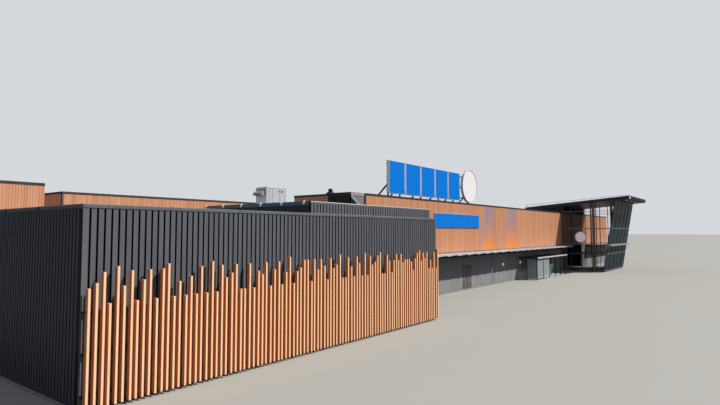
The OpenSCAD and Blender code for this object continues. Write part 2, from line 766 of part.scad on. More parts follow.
// The two sliding leaves
module sliding_leaf_front() color("#8FB0B8", 0.5)
    sliding_leaf((slide_y[0] + slide_y[1]) / 2 - leaf_gap / 2 - slide_leaf_w);

module sliding_leaf_rear() color("#8FB0B8", 0.5)
    sliding_leaf((slide_y[0] + slide_y[1]) / 2 + leaf_gap / 2);

// A leaf: a pane in a metal frame, from y towards the rear
module sliding_leaf(y) {
    z = [leaf_z, slide_h - 30];
    mid = slide_x + slide_t / 2 - pane_t / 2;
    difference() {
        block([slide_x, y, z[0]], [slide_x + slide_t, y + slide_leaf_w, z[1]]);
        block([slide_x - 1, y + slide_frame, z[0] + slide_frame],
            [slide_x + slide_t + 1, y + slide_leaf_w - slide_frame, z[1] - slide_frame]);
    }
    block([mid, y + slide_frame, z[0] + slide_frame],
        [mid + pane_t, y + slide_leaf_w - slide_frame, z[1] - slide_frame]);
}

// Square columns inside the entrance, up to the wing roof
module entrance_columns() color("#6A4030")
    for (x = [entrance_x[0] + column_in, entrance_x[1] - column_in - column_w])
        along_x(x, x + column_w, [[column_y, slab_t], [column_y + column_w, slab_t],
            [column_y + column_w, under_z(column_y + column_w)], [column_y, under_z(column_y)]]);

// Wing roof: a sloping deck
module wing_roof() color("#2C2A33") {
    y0 = wing_front_y + fascia_t;
    along_x(wing_x[0], wing_x[1], [
        [y0, roof_z(y0)], [y0, under_z(y0)], [wing_rear_y, under_z(wing_rear_y)],
        [wing_rear_y, roof_z(wing_rear_y)]]);
}

// Raised fascia across the front edge of the wing roof
module wing_fascia() color("#5A5E62")
    block([wing_x[0], wing_front_y, wing_h - wing_t],
        [wing_x[1], wing_front_y + fascia_t, wing_h + fascia_up]);

// Upstand walls between the hall's roof and the wing roof
module wing_upstand() color("#2C2A33") {
    x = [wing_x[0] + 800, wing_x[1] - 500];
    y1 = wing_rear_y - 300;
    over = parapet_h + coping_h;
    t = upstand_t;
    for (a = [x[0], x[1] - t])
        along_x(a, a + t, [[coping_w, deck_z], [y1, deck_z], [y1, under_z(y1)],
            [0, under_z(0)], [0, over], [coping_w, over]]);
    along_x(x[0] + t, x[1] - t, [[y1 - t, deck_z], [y1, deck_z], [y1, under_z(y1)],
        [y1 - t, under_z(y1 - t)]]);
}

// Guard rails along the two sides of the wing roof
module guard_rail() color("#B8BABE") {
    g = guard_t;
    y = [wing_front_y + fascia_t + pane_gap, wing_rear_y - 100];
    for (x = [wing_x[0] + 100, wing_x[1] - 100 - g]) {
        for (i = [0:6])
            guard_post(x, y[0] + i * (y[1] - y[0] - g) / 6,
                guard_h[0] + i * (guard_h[1] - guard_h[0]) / 6);
        z = [roof_z(y[0]) + guard_h[0], roof_z(y[1]) + guard_h[1]];
        along_x(x, x + g, [[y[0], z[0]], [y[1], z[1]], [y[1], z[1] + g], [y[0], z[0] + g]]);
    }
}

function roof_z(y) = under_z(y) + wing_t;

module guard_post(x, y, h)
    along_x(x, x + guard_t, [[y, roof_z(y)], [y + guard_t, roof_z(y + guard_t)],
        [y + guard_t, roof_z(y + guard_t) + h + guard_t / 2],
        [y, roof_z(y) + h + guard_t / 2]]);

model() floor_slab();
model() base_wall();
model() wall_over_door();
model() front_band();
model() outer_walls();
model() outer_band();
model() step_wall();
model() step_band();
model() hall_roof();
model() service_roof();
model() coping();
model() corner_infill();
model() service_front_wall();
model() service_side_walls();
model() service_cap();
model() batten_rails();
model() battens();
model() roof_screen_front();
model() roof_screen_sides();
model() screen_brackets();
model() hatch_tower();
model() roof_cowl();
model() air_handler();
model() intake_hood();
model() sign_frame();
model() sign_boxes();
model() sign_panel_white();
model() wall_sign_board();
model() canopy();
model() canopy_brackets();
model() service_door_frame();
model() service_door_left();
model() service_door_right();
model() shelter_frame();
model() shelter_roof();
model() shelter_glass();
model() side_glazing_frames();
model() side_glass();
model() front_glazing_frame();
model() front_glass();
model() sliding_door_head();
model() sliding_leaf_front();
model() sliding_leaf_rear();
model() entrance_columns();
model() wing_roof();
model() wing_fascia();
model() wing_upstand();
model() guard_rail();
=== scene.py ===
# Looks of a supermarket building, made as a scale model at one to ten.
# Lengths below are the real building's, in metres: x along the front, y into the building, z up.
import json
import math

import bmesh
import bpy
import numpy as np
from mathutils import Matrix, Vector


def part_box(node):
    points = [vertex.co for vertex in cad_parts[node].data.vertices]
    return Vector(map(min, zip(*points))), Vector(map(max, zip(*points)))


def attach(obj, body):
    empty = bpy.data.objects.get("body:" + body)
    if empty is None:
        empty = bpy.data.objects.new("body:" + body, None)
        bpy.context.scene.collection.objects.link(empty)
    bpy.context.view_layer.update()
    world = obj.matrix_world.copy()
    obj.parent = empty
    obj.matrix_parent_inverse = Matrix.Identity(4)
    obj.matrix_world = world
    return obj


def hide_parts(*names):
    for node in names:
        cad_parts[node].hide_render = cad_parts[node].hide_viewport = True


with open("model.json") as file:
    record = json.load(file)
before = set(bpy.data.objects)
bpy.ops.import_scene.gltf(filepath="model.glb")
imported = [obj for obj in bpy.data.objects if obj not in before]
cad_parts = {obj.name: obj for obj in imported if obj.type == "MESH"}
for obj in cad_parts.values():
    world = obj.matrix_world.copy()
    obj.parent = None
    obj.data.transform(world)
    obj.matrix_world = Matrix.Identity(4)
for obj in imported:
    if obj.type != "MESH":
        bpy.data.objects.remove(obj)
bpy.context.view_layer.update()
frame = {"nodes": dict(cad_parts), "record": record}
nodes = frame["nodes"]
scaleRatio = 10.0
frontCorner = np.array([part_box("service_front_wall")[0].x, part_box("base_wall")[0].y, 0.0])
print("frame loaded,", len(nodes), "nodes")


def toModel(points):
    # model point = real point / ratio + the front's left corner
    return np.asarray(points, float) / scaleRatio + frontCorner


def realBox(node):
    # lowest and highest corner of a node, in real metres
    low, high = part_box(node)
    return (np.array(low) - frontCorner) * scaleRatio, (np.array(high) - frontCorner) * scaleRatio


# Camera: where the photograph was taken from
cameraSpot = {
    "place": (-7.4, -22.1, 5.4),
    "yaw": 37.52,  # degrees from the front's line towards the building
    "pitch": 3.25,  # degrees above the level
    "lens": 26.0,
    "sensor": 36.0,
}
cameraData = bpy.data.cameras.new("camera")
cameraData.lens = cameraSpot["lens"]
cameraData.sensor_width = cameraSpot["sensor"]
cameraData.clip_start = 0.02
cameraData.clip_end = 400.0
camera = bpy.data.objects.new("camera", cameraData)
camera.location = toModel(cameraSpot["place"])
camera.rotation_euler = (
    math.radians(90 + cameraSpot["pitch"]), 0.0, math.radians(cameraSpot["yaw"] - 90))
bpy.context.scene.collection.objects.link(camera)
bpy.context.scene.camera = camera

# Light: one soft key from the front right, like the photograph's sun, and a pale surround
light = {
    "travel": (-0.75, 1.0, -1.48),
    "strength": 5.4,
    "spread": 1.6,  # degrees
    "colour": "#FFFAF3",
    "fill": 0.5,
    "fillColour": "#DDE1F4",
    "mirrored": 0.22,  # what glossy faces reflect
    "mirroredColour": "#8FA9B4",
    "backdrop": 0.78,
    "backdropColour": "#EEF1F5",
    "floor": "#94948F",
    "floorBounce": "#454544",  # what the floor throws back onto the object
    "floorSide": 260.0,  # model metres
}


def toLinear(hexColour):
    # sRGB hex to linear: c / 12.92 below 0.04045, else ((c + 0.055) / 1.055) to the power 2.4
    values = [int(hexColour[i:i + 2], 16) / 255 for i in (1, 3, 5)]
    return tuple(v / 12.92 if v <= 0.04045 else ((v + 0.055) / 1.055) ** 2.4 for v in values) + (1.0,)


def shaded(colour, factor, lift=0.0):
    # a linear colour made darker or paler, at most white
    return tuple(min(1.0, c * factor + lift) for c in colour[:3]) + (1.0,)


def addNode(tree, kind, inputs=None, **settings):
    # adds a node, sets its properties, then fills each input or links a socket to it
    node = tree.nodes.new(kind)
    for name, value in settings.items():
        setattr(node, name, value)
    for key, value in (inputs or {}).items():
        if isinstance(value, bpy.types.NodeSocket):
            tree.links.new(value, node.inputs[key])
        else:
            node.inputs[key].default_value = value
    return node


def startMaterial(name, shaderValues):
    # a material with one Principled shader, and the Object coordinates that its patterns read
    material = bpy.data.materials.new(name)
    material.use_nodes = True
    tree = material.node_tree
    tree.nodes.clear()
    shader = addNode(tree, "ShaderNodeBsdfPrincipled", shaderValues)
    addNode(tree, "ShaderNodeOutputMaterial", {"Surface": shader.outputs[0]})
    place = addNode(tree, "ShaderNodeTexCoord").outputs["Object"]
    return material, tree, shader, place


# Lowest and highest value that a pattern is stretched between
noiseLimits = (0.3, 0.7)
grainLimits = (0.45, 0.8)
toneLimits = (-1.0, 1.0)
fullLimits = (0.0, 1.0)


def noiseAt(tree, place, grain, detail=2.0, roughness=0.5):
    # clouds or streaks whose grain is (x, y, z) real metres long
    laid = addNode(tree, "ShaderNodeMapping", {
        "Vector": place, "Scale": tuple(scaleRatio / g for g in grain)})
    return addNode(tree, "ShaderNodeTexNoise", {
        "Vector": laid.outputs[0], "Scale": 1.0, "Detail": detail, "Roughness": roughness}).outputs[0]


def mapped(tree, value, limits, ends, **settings):
    # goes from one end to the other while the value goes through its limits
    return addNode(tree, "ShaderNodeMapRange", {
        0: value, 1: limits[0], 2: limits[1], 3: ends[0], 4: ends[1]}, **settings).outputs[0]


def maths(tree, operation, *values):
    # one step of arithmetic on numbers or sockets
    return addNode(tree, "ShaderNodeMath", dict(enumerate(values)), operation=operation).outputs[0]


def blended(tree, value, first, second, limits=noiseLimits, most=1.0, least=0.0, kind="MIX"):
    # share of the second colour = least to most, while the value goes through its limits
    share = mapped(tree, value, limits, (least, most))
    return addNode(tree, "ShaderNodeMix", {0: share, 6: first, 7: second},
                   data_type="RGBA", blend_type=kind).outputs[2]


def distance(tree, value, middle):
    # how far a value lies from the middle, on either side
    return maths(tree, "ABSOLUTE", maths(tree, "SUBTRACT", value, middle))


def wireShader(tree, shader, colour, dull=None, relief=None):
    # dull is (pattern, its limits, roughness at each), relief is (pattern, real depth, strength)
    tree.links.new(colour, shader.inputs["Base Color"])
    if dull:
        tree.links.new(mapped(tree, *dull), shader.inputs["Roughness"])
    if relief:
        height, depth, strength = relief
        bump = addNode(tree, "ShaderNodeBump", {
            "Strength": strength, "Distance": depth / scaleRatio, "Height": height})
        tree.links.new(bump.outputs[0], shader.inputs["Normal"])


def coatedSteel(name, colour, roughness=0.42, groove=None):
    # Steel or aluminium sheet, coil coated and roll formed: an even satin paint. The eye sees faint
    # streaks where rain ran down, and slow clouds of wear. A painted shade darkens the bottom of a groove.
    material, tree, shader, place = startMaterial(name, {"Roughness": roughness, "IOR": 1.5})
    streaks = noiseAt(tree, place, (0.09, 0.09, 1.8), 3.0)
    clouds = noiseAt(tree, place, (2.2, 2.2, 1.4))
    base = toLinear(colour)
    washed = blended(tree, streaks, shaded(base, 0.9), shaded(base, 1.08, 0.004))
    final = blended(tree, clouds, washed, base, most=0.45)
    if groove:
        final = paintedGrooveShade(tree, place, final, groove)
    wireShader(tree, shader, final, (streaks, noiseLimits, (roughness - 0.05, roughness + 0.07)))
    return material


def paintedGrooveShade(tree, place, clean, groove):
    # painted shade: the rib colour on the ribs and dark at the bottom of the grooves, by how far a point lies
    # within the faces
    middle = [0.0, 0.0, 0.0]
    middle[groove["axis"]] = groove["middle"]
    centre = toModel(middle)[groove["axis"]]
    along = addNode(tree, "ShaderNodeSeparateXYZ", {0: place}).outputs[groove["axis"]]
    face, depth = groove["face"] / scaleRatio, groove["depth"] / scaleRatio
    return blended(tree, distance(tree, along, centre), clean, toLinear(groove["colour"]),
                   (face - depth * 0.02, face - depth * 0.24))


def fibreCement(name, colour):
    # Fibre-cement cladding panels, pressed and dyed through: dull, a little cloudy, and each panel
    # a shade apart. The attribute tone holds the panel's own shade.
    material, tree, shader, place = startMaterial(name, {"Roughness": 0.78, "IOR": 1.45})
    tone = addNode(tree, "ShaderNodeAttribute", attribute_name="tone").outputs["Fac"]
    clouds = noiseAt(tree, place, (0.5, 0.5, 0.9), 4.0, 0.6)
    grit = noiseAt(tree, place, (0.03, 0.03, 0.03))  # real grit is finer, so it shows
    low, high = [shaded(toLinear(colour), factor) for factor in (0.88, 1.12)]
    panel = blended(tree, tone, low, high, toneLimits)
    cloudy = blended(tree, clouds, panel, low, most=0.35)
    wireShader(tree, shader, blended(tree, grit, cloudy, high, most=0.18), relief=(grit, 0.004, 0.6))
    return material


def larchBoards(name, dark, middle, pale, zones=()):
    # Larch facing boards, planed and oiled: warm and dull, each board a shade apart, with long
    # grain, and darker late wood. The attribute tone holds the board's own shade. Zones are stained.
    material, tree, shader, place = startMaterial(name, {"Roughness": 0.62, "IOR": 1.48})
    tone = addNode(tree, "ShaderNodeAttribute", attribute_name="tone").outputs["Fac"]
    grain = noiseAt(tree, place, (0.022, 0.022, 0.9), 4.0, 0.6)  # real grain is nearer 5 mm
    length = noiseAt(tree, place, (0.2, 0.2, 1.6))
    board = blended(tree, tone, toLinear(dark), toLinear(pale), toneLimits)
    soft = blended(tree, length, board, toLinear(middle), least=0.2, most=0.8)
    where = addNode(tree, "ShaderNodeSeparateXYZ", {0: place})
    for zone in zones:
        soft = stainedZone(tree, where, soft, tone, noiseAt(tree, place, (0.16, 0.16, 0.9)), zone)
    late = shaded(toLinear(dark), 0.72)
    final = blended(tree, grain, soft, late, grainLimits, 0.3, kind="MULTIPLY")
    wireShader(tree, shader, final, relief=(grain, 0.003, 0.7))
    return material


def stainedZone(tree, where, under, tone, patches, zone):
    # a stain between two slanting lines: inside where |x - middle(z)| is under half the width(z),
    # with an edge that each board's tone and the patches shift
    bottom, top = toModel((0, 0, zone["low"]))[2], toModel((0, 0, zone["high"]))[2]
    left, right, topLeft, topRight = [toModel((x, 0, 0))[0] for x in zone["bottom"] + zone["top"]]
    middle, half, fade = [
        mapped(tree, where.outputs[2], (bottom, top), ends)
        for ends in (((left + right) / 2, (topLeft + topRight) / 2),
                     ((right - left) / 2, (topRight - topLeft) / 2), zone["strength"])]
    beyond = maths(tree, "SUBTRACT", distance(tree, where.outputs[0], middle), half)
    ragged = maths(tree, "MULTIPLY_ADD", tone, zone["ragged"] / scaleRatio, beyond)
    reach, soft = zone["patchy"] / scaleRatio / 2, zone["soft"] / scaleRatio
    edge = maths(tree, "ADD", mapped(tree, patches, noiseLimits, (-reach, reach)), ragged)
    amount = maths(tree, "MULTIPLY", mapped(tree, edge, (soft, -soft), (0.0, 1.0)), fade)
    stain = toLinear(zone["colour"])
    return blended(tree, amount, under,
                   blended(tree, tone, stain, shaded(stain, 1.18), toneLimits), fullLimits)


def stainedBattens(name, dark, pale, paintedFrontHighlight, row):
    # Sawn softwood battens, dipped in a warm stain: dull, straight long grain, each batten a shade
    # apart, with a painted highlight that makes its sunlit front paler. Its number is its place over the
    # pitch, rounded.
    material, tree, shader, place = startMaterial(name, {"Roughness": 0.55, "IOR": 1.48})
    where = addNode(tree, "ShaderNodeSeparateXYZ", {0: place})
    start = toModel((row["first"], 0, 0))[0]
    number = mapped(tree, where.outputs[0], (start, start + row["pitch"] / scaleRatio), (0.5, 1.5),
                    clamp=False)
    luck = addNode(tree, "ShaderNodeTexWhiteNoise", {"W": maths(tree, "FLOOR", number)},
                   noise_dimensions="1D")
    grain = noiseAt(tree, place, (0.014, 0.014, 0.7), 4.0, 0.6)  # real grain is nearer 4 mm
    patches = noiseAt(tree, place, (0.3, 0.3, 1.1))
    base = blended(tree, luck.outputs["Value"], toLinear(dark), toLinear(pale), fullLimits)
    patchy = blended(tree, patches, base, toLinear(dark), most=0.5)
    # paler within a few millimetres of the front face: a painted highlight where the sun falls
    behind = [toModel((0, row["front"] + depth, 0))[1] for depth in row["paintedFrontHighlight"]]
    highlighted = blended(tree, where.outputs[1], patchy, toLinear(paintedFrontHighlight), behind)
    late = shaded(toLinear(dark), 0.6)
    final = blended(tree, grain, highlighted, late, grainLimits, 0.3, kind="MULTIPLY")
    wireShader(tree, shader, final, relief=(grain, 0.004, 0.8))
    return material


def castConcrete(name, colour):
    # Concrete, power floated: dull grey with clouds from the trowel and fine grit
    material, tree, shader, place = startMaterial(name, {"Roughness": 0.7, "IOR": 1.5})
    clouds = noiseAt(tree, place, (1.6, 1.6, 1.6), 5.0, 0.6)
    grit = noiseAt(tree, place, (0.04, 0.04, 0.04))
    base = toLinear(colour)
    wireShader(tree, shader, blended(tree, clouds, shaded(base, 0.82), base), relief=(grit, 0.003, 0.5))
    return material


def roofMembrane(name, colour, sheet):
    # PVC roofing sheet, rolled out and welded: dull, with lapped seams every sheet width and dust
    # gathered in shallow pools
    material, tree, shader, place = startMaterial(name, {"Roughness": 0.72, "IOR": 1.5})
    pools = noiseAt(tree, place, (5.0, 5.0, 5.0), 4.0, 0.6)
    grit = noiseAt(tree, place, (0.12, 0.12, 0.12), 3.0)
    where = addNode(tree, "ShaderNodeSeparateXYZ", {0: place})
    sheets = maths(tree, "MULTIPLY", where.outputs[1], scaleRatio / sheet["wide"])
    lap = maths(tree, "LESS_THAN", maths(tree, "FRACT", sheets), sheet["lap"])
    base = toLinear(colour)
    low = shaded(base, 0.78)
    speckled = blended(tree, grit, blended(tree, pools, low, shaded(base, 1.25)), base, most=0.3)
    seamed = blended(tree, lap, speckled, low, fullLimits)
    wireShader(tree, shader, seamed, relief=(lap, 0.006, 1.0))
    return material


def floatGlass(name, tint, alpha, roughness=0.03, gloss=0.5):
    # Float glass with a grey-green tint: clear and glossy, with a faint film of dust that dulls it
    material, tree, shader, place = startMaterial(name, {
        "Base Color": toLinear(tint), "IOR": 1.52, "Alpha": alpha, "Specular IOR Level": gloss})
    film = noiseAt(tree, place, (1.5, 1.5, 2.5))
    dusted = mapped(tree, film, noiseLimits, (roughness, roughness + 0.06))
    tree.links.new(dusted, shader.inputs["Roughness"])
    return material


def signAcrylic(name, colour):
    # Cast acrylic sheet, dyed through: even and glossy, with a faint haze of dust
    material, tree, shader, place = startMaterial(name, {"IOR": 1.49, "Specular IOR Level": 0.15})
    dust = noiseAt(tree, place, (0.6, 0.6, 1.2), 3.0)
    base = toLinear(colour)
    wireShader(tree, shader, blended(tree, dust, base, shaded(base, 0.94, 0.004)),
               (dust, noiseLimits, (0.2, 0.34)))
    return material


def galvanisedSteel(name, colour):
    # Steel sections, dipped in zinc: dull metal with crystals a few centimetres wide
    material, tree, shader, place = startMaterial(name, {"Metallic": 0.85})
    crystal = 0.06
    laid = addNode(tree, "ShaderNodeMapping", {"Vector": place, "Scale": (scaleRatio / crystal,) * 3})
    crystals = addNode(tree, "ShaderNodeTexVoronoi", {"Vector": laid.outputs[0], "Scale": 1.0})
    base = toLinear(colour)
    grey = addNode(tree, "ShaderNodeSeparateColor", {0: crystals.outputs["Color"]}).outputs[0]
    wireShader(tree, shader, blended(tree, grey, base, shaded(base, 1.3), fullLimits),
               (grey, fullLimits, (0.4, 0.6)))
    return material


def brushedSteel(name, colour):
    # Stainless steel tube, brushed along its length: bright metal with fine long scratches
    material, tree, shader, place = startMaterial(name, {"Metallic": 1.0})
    lines = noiseAt(tree, place, (0.004, 0.4, 0.004))
    base = toLinear(colour)
    wireShader(tree, shader, blended(tree, lines, shaded(base, 0.85), base, fullLimits),
               (lines, noiseLimits, (0.24, 0.4)))
    return material


def opalLens(name, colour, glow):
    # Opal polycarbonate, moulded: milky and smooth, with the lamp behind it switched on
    base = toLinear(colour)
    material, tree, shader, place = startMaterial(name, {
        "Roughness": 0.35, "IOR": 1.58, "Emission Color": base, "Emission Strength": glow})
    haze = noiseAt(tree, place, (0.05, 0.05, 0.05))
    wireShader(tree, shader, blended(tree, haze, shaded(base, 0.9), base))
    return material


def softRubber(name, colour):
    # EPDM sheet and gaskets, extruded: black, dull, faintly chalky
    material, tree, shader, place = startMaterial(name, {"Roughness": 0.8, "IOR": 1.5})
    chalk = noiseAt(tree, place, (0.2, 0.2, 0.2), 3.0)
    base = toLinear(colour)
    wireShader(tree, shader, blended(tree, chalk, base, shaded(base, 1.6, 0.004)))
    return material


# Coloured areas of the timber band: x limits at the foot and at the top, heights, strength
orange = "#D4822D"
lilac = "#97828A"
stains = {"low": 3.4, "soft": 0.28, "ragged": 0.2, "patchy": 1.1}
bandZones = [
    dict(stains, bottom=(40.7, 44.6), top=(41.9, 44.5), high=8.2, colour=lilac, strength=(0.35, 0.95)),
    dict(stains, bottom=(41.2, 44.8), top=(43.2, 43.3), high=7.0, colour=orange, strength=(1.05, 0.0)),
    dict(stains, bottom=(40.2, 40.6), top=(41.0, 41.7), high=8.2, colour=orange, strength=(0.0, 0.6)),
    dict(stains, bottom=(46.7, 51.6), top=(47.9, 50.6), high=8.2, colour=lilac, strength=(0.25, 0.95)),
    dict(stains, bottom=(46.7, 51.4), top=(49.0, 49.3), high=7.0, colour=orange, strength=(1.05, 0.0)),
    dict(stains, bottom=(46.2, 46.6), top=(47.0, 47.6), high=8.2, colour=orange, strength=(0.0, 0.55)),
    dict(stains, bottom=(51.8, 52.2), top=(50.8, 51.5), high=8.2, colour=orange, strength=(0.0, 0.45)),
]

blockLow, blockHigh = realBox("service_front_wall")
# the colour here is the painted shade at the bottom of the grooves
ribs = {"depth": 0.06, "colour": "#101116"}
blockGrooves = dict(ribs, axis=1, middle=0.0, face=-blockLow[1])
sideGrooves = dict(ribs, axis=0, middle=blockHigh[0] / 2, face=blockHigh[0] / 2)
screenGrooves = dict(ribs, axis=1, middle=0.0, face=-realBox("roof_screen_front")[0][1])
battenRow = {"pitch": 0.2215, "first": 0.1185, "front": realBox("battens")[0][1], "paintedFrontHighlight": (0.012, 0.003)}

paint = {
    "concrete_floor": castConcrete("power_floated_concrete", "#8E8E8A"),
    "base_panels": fibreCement("grey_fibre_cement", "#848585"),
    "timber_band": larchBoards("oiled_larch", "#B0754F", "#C48B67", "#D39C79"),
    "zoned_band": larchBoards("oiled_larch_front", "#B0754F", "#C48B67", "#D39C79", bandZones),
    "grey_panels": coatedSteel("coated_steel_mid_grey", "#7D777A"),
    "roof_membrane": roofMembrane("welded_roofing_sheet", "#7C7F83", {"wide": 1.5, "lap": 0.08}),
    "dark_coping": coatedSteel("coated_aluminium_coping", "#3B3532"),
    "ribbed_cladding": coatedSteel("coil_coated_ribbed_sheet", "#585B61", groove=blockGrooves),
    "ribbed_sides": coatedSteel("coil_coated_ribbed_sides", "#4A4C52", groove=sideGrooves),
    "ribbed_screen": coatedSteel("coil_coated_screen_sheet", "#5F6268", groove=screenGrooves),
    "grey_cap": coatedSteel("coated_steel_cap", "#606266"),
    "dark_rails": coatedSteel("coated_steel_rails", "#202126"),
    # the third colour is the painted highlight on the battens' fronts
    "batten_timber": stainedBattens("stained_softwood", "#D48850", "#E29A60", "#F8CEA4", battenRow),
    "navy_panels": coatedSteel("navy_sandwich_panel", "#3C607A"),
    "dark_panels": coatedSteel("dark_sandwich_panel", "#202429"),
    "white_brackets": coatedSteel("white_powder_coat", "#E6E6E4"),
    "dark_steel": coatedSteel("dark_powder_coat", "#2B2B30"),
    "black_steel": coatedSteel("black_powder_coat", "#17181B"),
    "casing_grey": coatedSteel("pale_plant_casing", "#ADB1B7"),
    "hood_grey": coatedSteel("grey_plant_hood", "#85848A"),
    "hood_pale": coatedSteel("pale_tower_cap", "#96908F"),
    "galvanised_frame": galvanisedSteel("hot_dip_zinc", "#4C4F54"),
    "sign_blue": signAcrylic("blue_cast_acrylic", "#0075D6"),
    "sign_white": signAcrylic("white_cast_acrylic", "#E8E8E8"),
    "canopy_grey": coatedSteel("pale_canopy_sheet", "#BCBCC0"),
    "door_brown": coatedSteel("grey_brown_powder_coat", "#6A6365"),
    "shelter_white": coatedSteel("white_shelter_sheet", "#C8C9CB"),
    "clear_glass": floatGlass("clear_float_glass", "#3E524E", 0.03),
    # pale tint and high alpha on the shelter glass: a painted reflection of the bright sky
    "shelter_glass": floatGlass("toughened_float_glass", "#B5C6C6", 0.42),
    "shelter_roof_glass": floatGlass("smoked_roofing_sheet", "#33393C", 0.55, 0.2),
    "solar_glass": floatGlass("solar_float_glass", "#10303C", 0.9, gloss=0.08),
    "column_brown": coatedSteel("brown_column_casing", "#9C8279"),
    "rail_steel": brushedSteel("brushed_stainless", "#B8B9BC"),
    "white_casing": coatedSteel("white_plant_casing", "#E9EBEE"),
    "wing_edge": coatedSteel("blue_grey_powder_coat", "#28344C"),
    "pale_caps": coatedSteel("anodised_grey_caps", "#8F979A", 0.35),
    "opal_lens": opalLens("opal_lamp_lens", "#F4F3EC", 0.35),
    "opal_face": opalLens("opal_panel_face", "#F1EEF2", 0.15),
    "rubber": softRubber("black_rubber_sheet", "#1B1C1E"),
}
otherPaint = {  # CAD nodes that look different from their slot
    "front_glass": "solar_glass", "shelter_glass": "shelter_glass", "service_door_frame": "door_brown",
    "service_side_walls": "ribbed_sides", "roof_screen_front": "ribbed_screen"}
for part in frame["record"]["subparts"]:
    nodeMaterials = nodes[part["node"]].data.materials
    nodeMaterials.clear()
    nodeMaterials.append(paint[otherPaint.get(part["node"], part["material_slot"])])
print("materials ready,", len(paint))

# Stage: a plain pale floor, a sun lamp and the surround
floorMesh = bpy.data.meshes.new("stage_floor")
half = light["floorSide"] / 2
floorMesh.from_pydata(
    [(-half, -half, 0), (half, -half, 0), (half, half, 0), (-half, half, 0)], [], [(0, 1, 2, 3)])
floor = bpy.data.objects.new("stage_floor", floorMesh)
floor.location.z = -0.002
floorMaterial, floorTree, floorShader = startMaterial("pale_floor", {"Roughness": 0.9})[:3]
fromCamera = addNode(floorTree, "ShaderNodeLightPath").outputs["Is Camera Ray"]
wireShader(floorTree, floorShader, blended(
    floorTree, fromCamera, toLinear(light["floorBounce"]), toLinear(light["floor"]), fullLimits))
floorMesh.materials.append(floorMaterial)
bpy.context.scene.collection.objects.link(floor)
sunData = bpy.data.lights.new("key_light", "SUN")
sunData.energy = light["strength"]
sunData.angle = math.radians(light["spread"])
sunData.color = toLinear(light["colour"])[:3]
sun = bpy.data.objects.new("key_light", sunData)
sun.rotation_mode = "QUATERNION"
sun.rotation_quaternion = Vector(light["travel"]).to_track_quat("-Z", "Y")
bpy.context.scene.collection.objects.link(sun)
world = bpy.data.worlds.new("pale_surround")
bpy.context.scene.world = world
world.use_nodes = True
worldTree = world.node_tree
worldTree.nodes.clear()
fill, mirrored, backdrop = [
    addNode(worldTree, "ShaderNodeBackground", {
        0: toLinear(light[name + "Colour"]), 1: light[name]}).outputs[0]
    for name in ("fill", "mirrored", "backdrop")]
rays = addNode(worldTree, "ShaderNodeLightPath").outputs
unseen = addNode(worldTree, "ShaderNodeMixShader", {0: rays["Is Glossy Ray"], 1: fill, 2: mirrored})
surround = addNode(worldTree, "ShaderNodeMixShader", {
    0: rays["Is Camera Ray"], 1: unseen.outputs[0], 2: backdrop})
addNode(worldTree, "ShaderNodeOutputWorld", {0: surround.outputs[0]})
bpy.context.scene.view_settings.view_transform = "Standard"
print("stage ready")


def carryProfile(profile, starts, ends, up):
    # corner = start or end + side * profile x + up * profile y, with side square to run and up
    profile = np.asarray(profile, float)
    starts = np.atleast_2d(np.asarray(starts, float))
    ends = np.atleast_2d(np.asarray(ends, float))
    run = ends - starts
    run = run / np.linalg.norm(run, axis=1, keepdims=True)
    across = np.cross(run, np.broadcast_to(np.asarray(up, float), run.shape))
    across = across / np.linalg.norm(across, axis=1, keepdims=True)
    over = np.cross(across, run)
    offsets = profile[None, :, :1] * across[:, None] + profile[None, :, 1:] * over[:, None]
    rings = np.stack([starts[:, None] + offsets, ends[:, None] + offsets], axis=1)
    corners = len(profile)
    first = np.arange(len(starts))[:, None] * 2 * corners
    i = np.arange(corners)
    j = (i + 1) % corners
    quads = np.stack([i, j, j + corners, i + corners], axis=1)
    walls = (first[:, :, None] + quads[None]).reshape(-1, 4)
    caps = np.concatenate([first + i[::-1], first + corners + i])
    return rings.reshape(-1, 3), walls.tolist() + caps.tolist()


def bevelled(wide, tall, edge):
    # rectangle about the origin with its corners cut
    a, b = wide / 2, tall / 2
    return [(-a + edge, -b), (a - edge, -b), (a, -b + edge), (a, b - edge),
            (a - edge, b), (-a + edge, b), (-a, b - edge), (-a, -b + edge)]


def bars(lows, highs, edge=0.004):
    # upright or level bars between low and high corners, with a small bevel along their longest side
    shapes = []
    for low, high in zip(np.atleast_2d(np.asarray(lows, float)), np.atleast_2d(np.asarray(highs, float))):
        axis = int(np.argmax(high - low))
        start, end = (low + high) / 2, (low + high) / 2
        start[axis], end[axis] = low[axis], high[axis]
        wide, tall = np.delete(high - low, axis)
        up = (0, -1, 0) if axis == 2 else (0, 0, 1)
        shapes.append(carryProfile(bevelled(wide, tall, edge), start, end, up))
    return joinShapes(shapes)


def places(x, y, z):
    # rows of (x, y, z), where each of the three is one number or a list
    return np.column_stack(np.broadcast_arrays(*np.atleast_1d(x, y, z)))


def joinShapes(shapes):
    # stacks vertex arrays and shifts each face's numbers by the vertices before it
    points, faces, before = [], [], 0
    for verts, polygons in shapes:
        points.append(verts)
        faces += [[n + before for n in polygon] for polygon in polygons]
        before += len(verts)
    return np.concatenate(points), faces


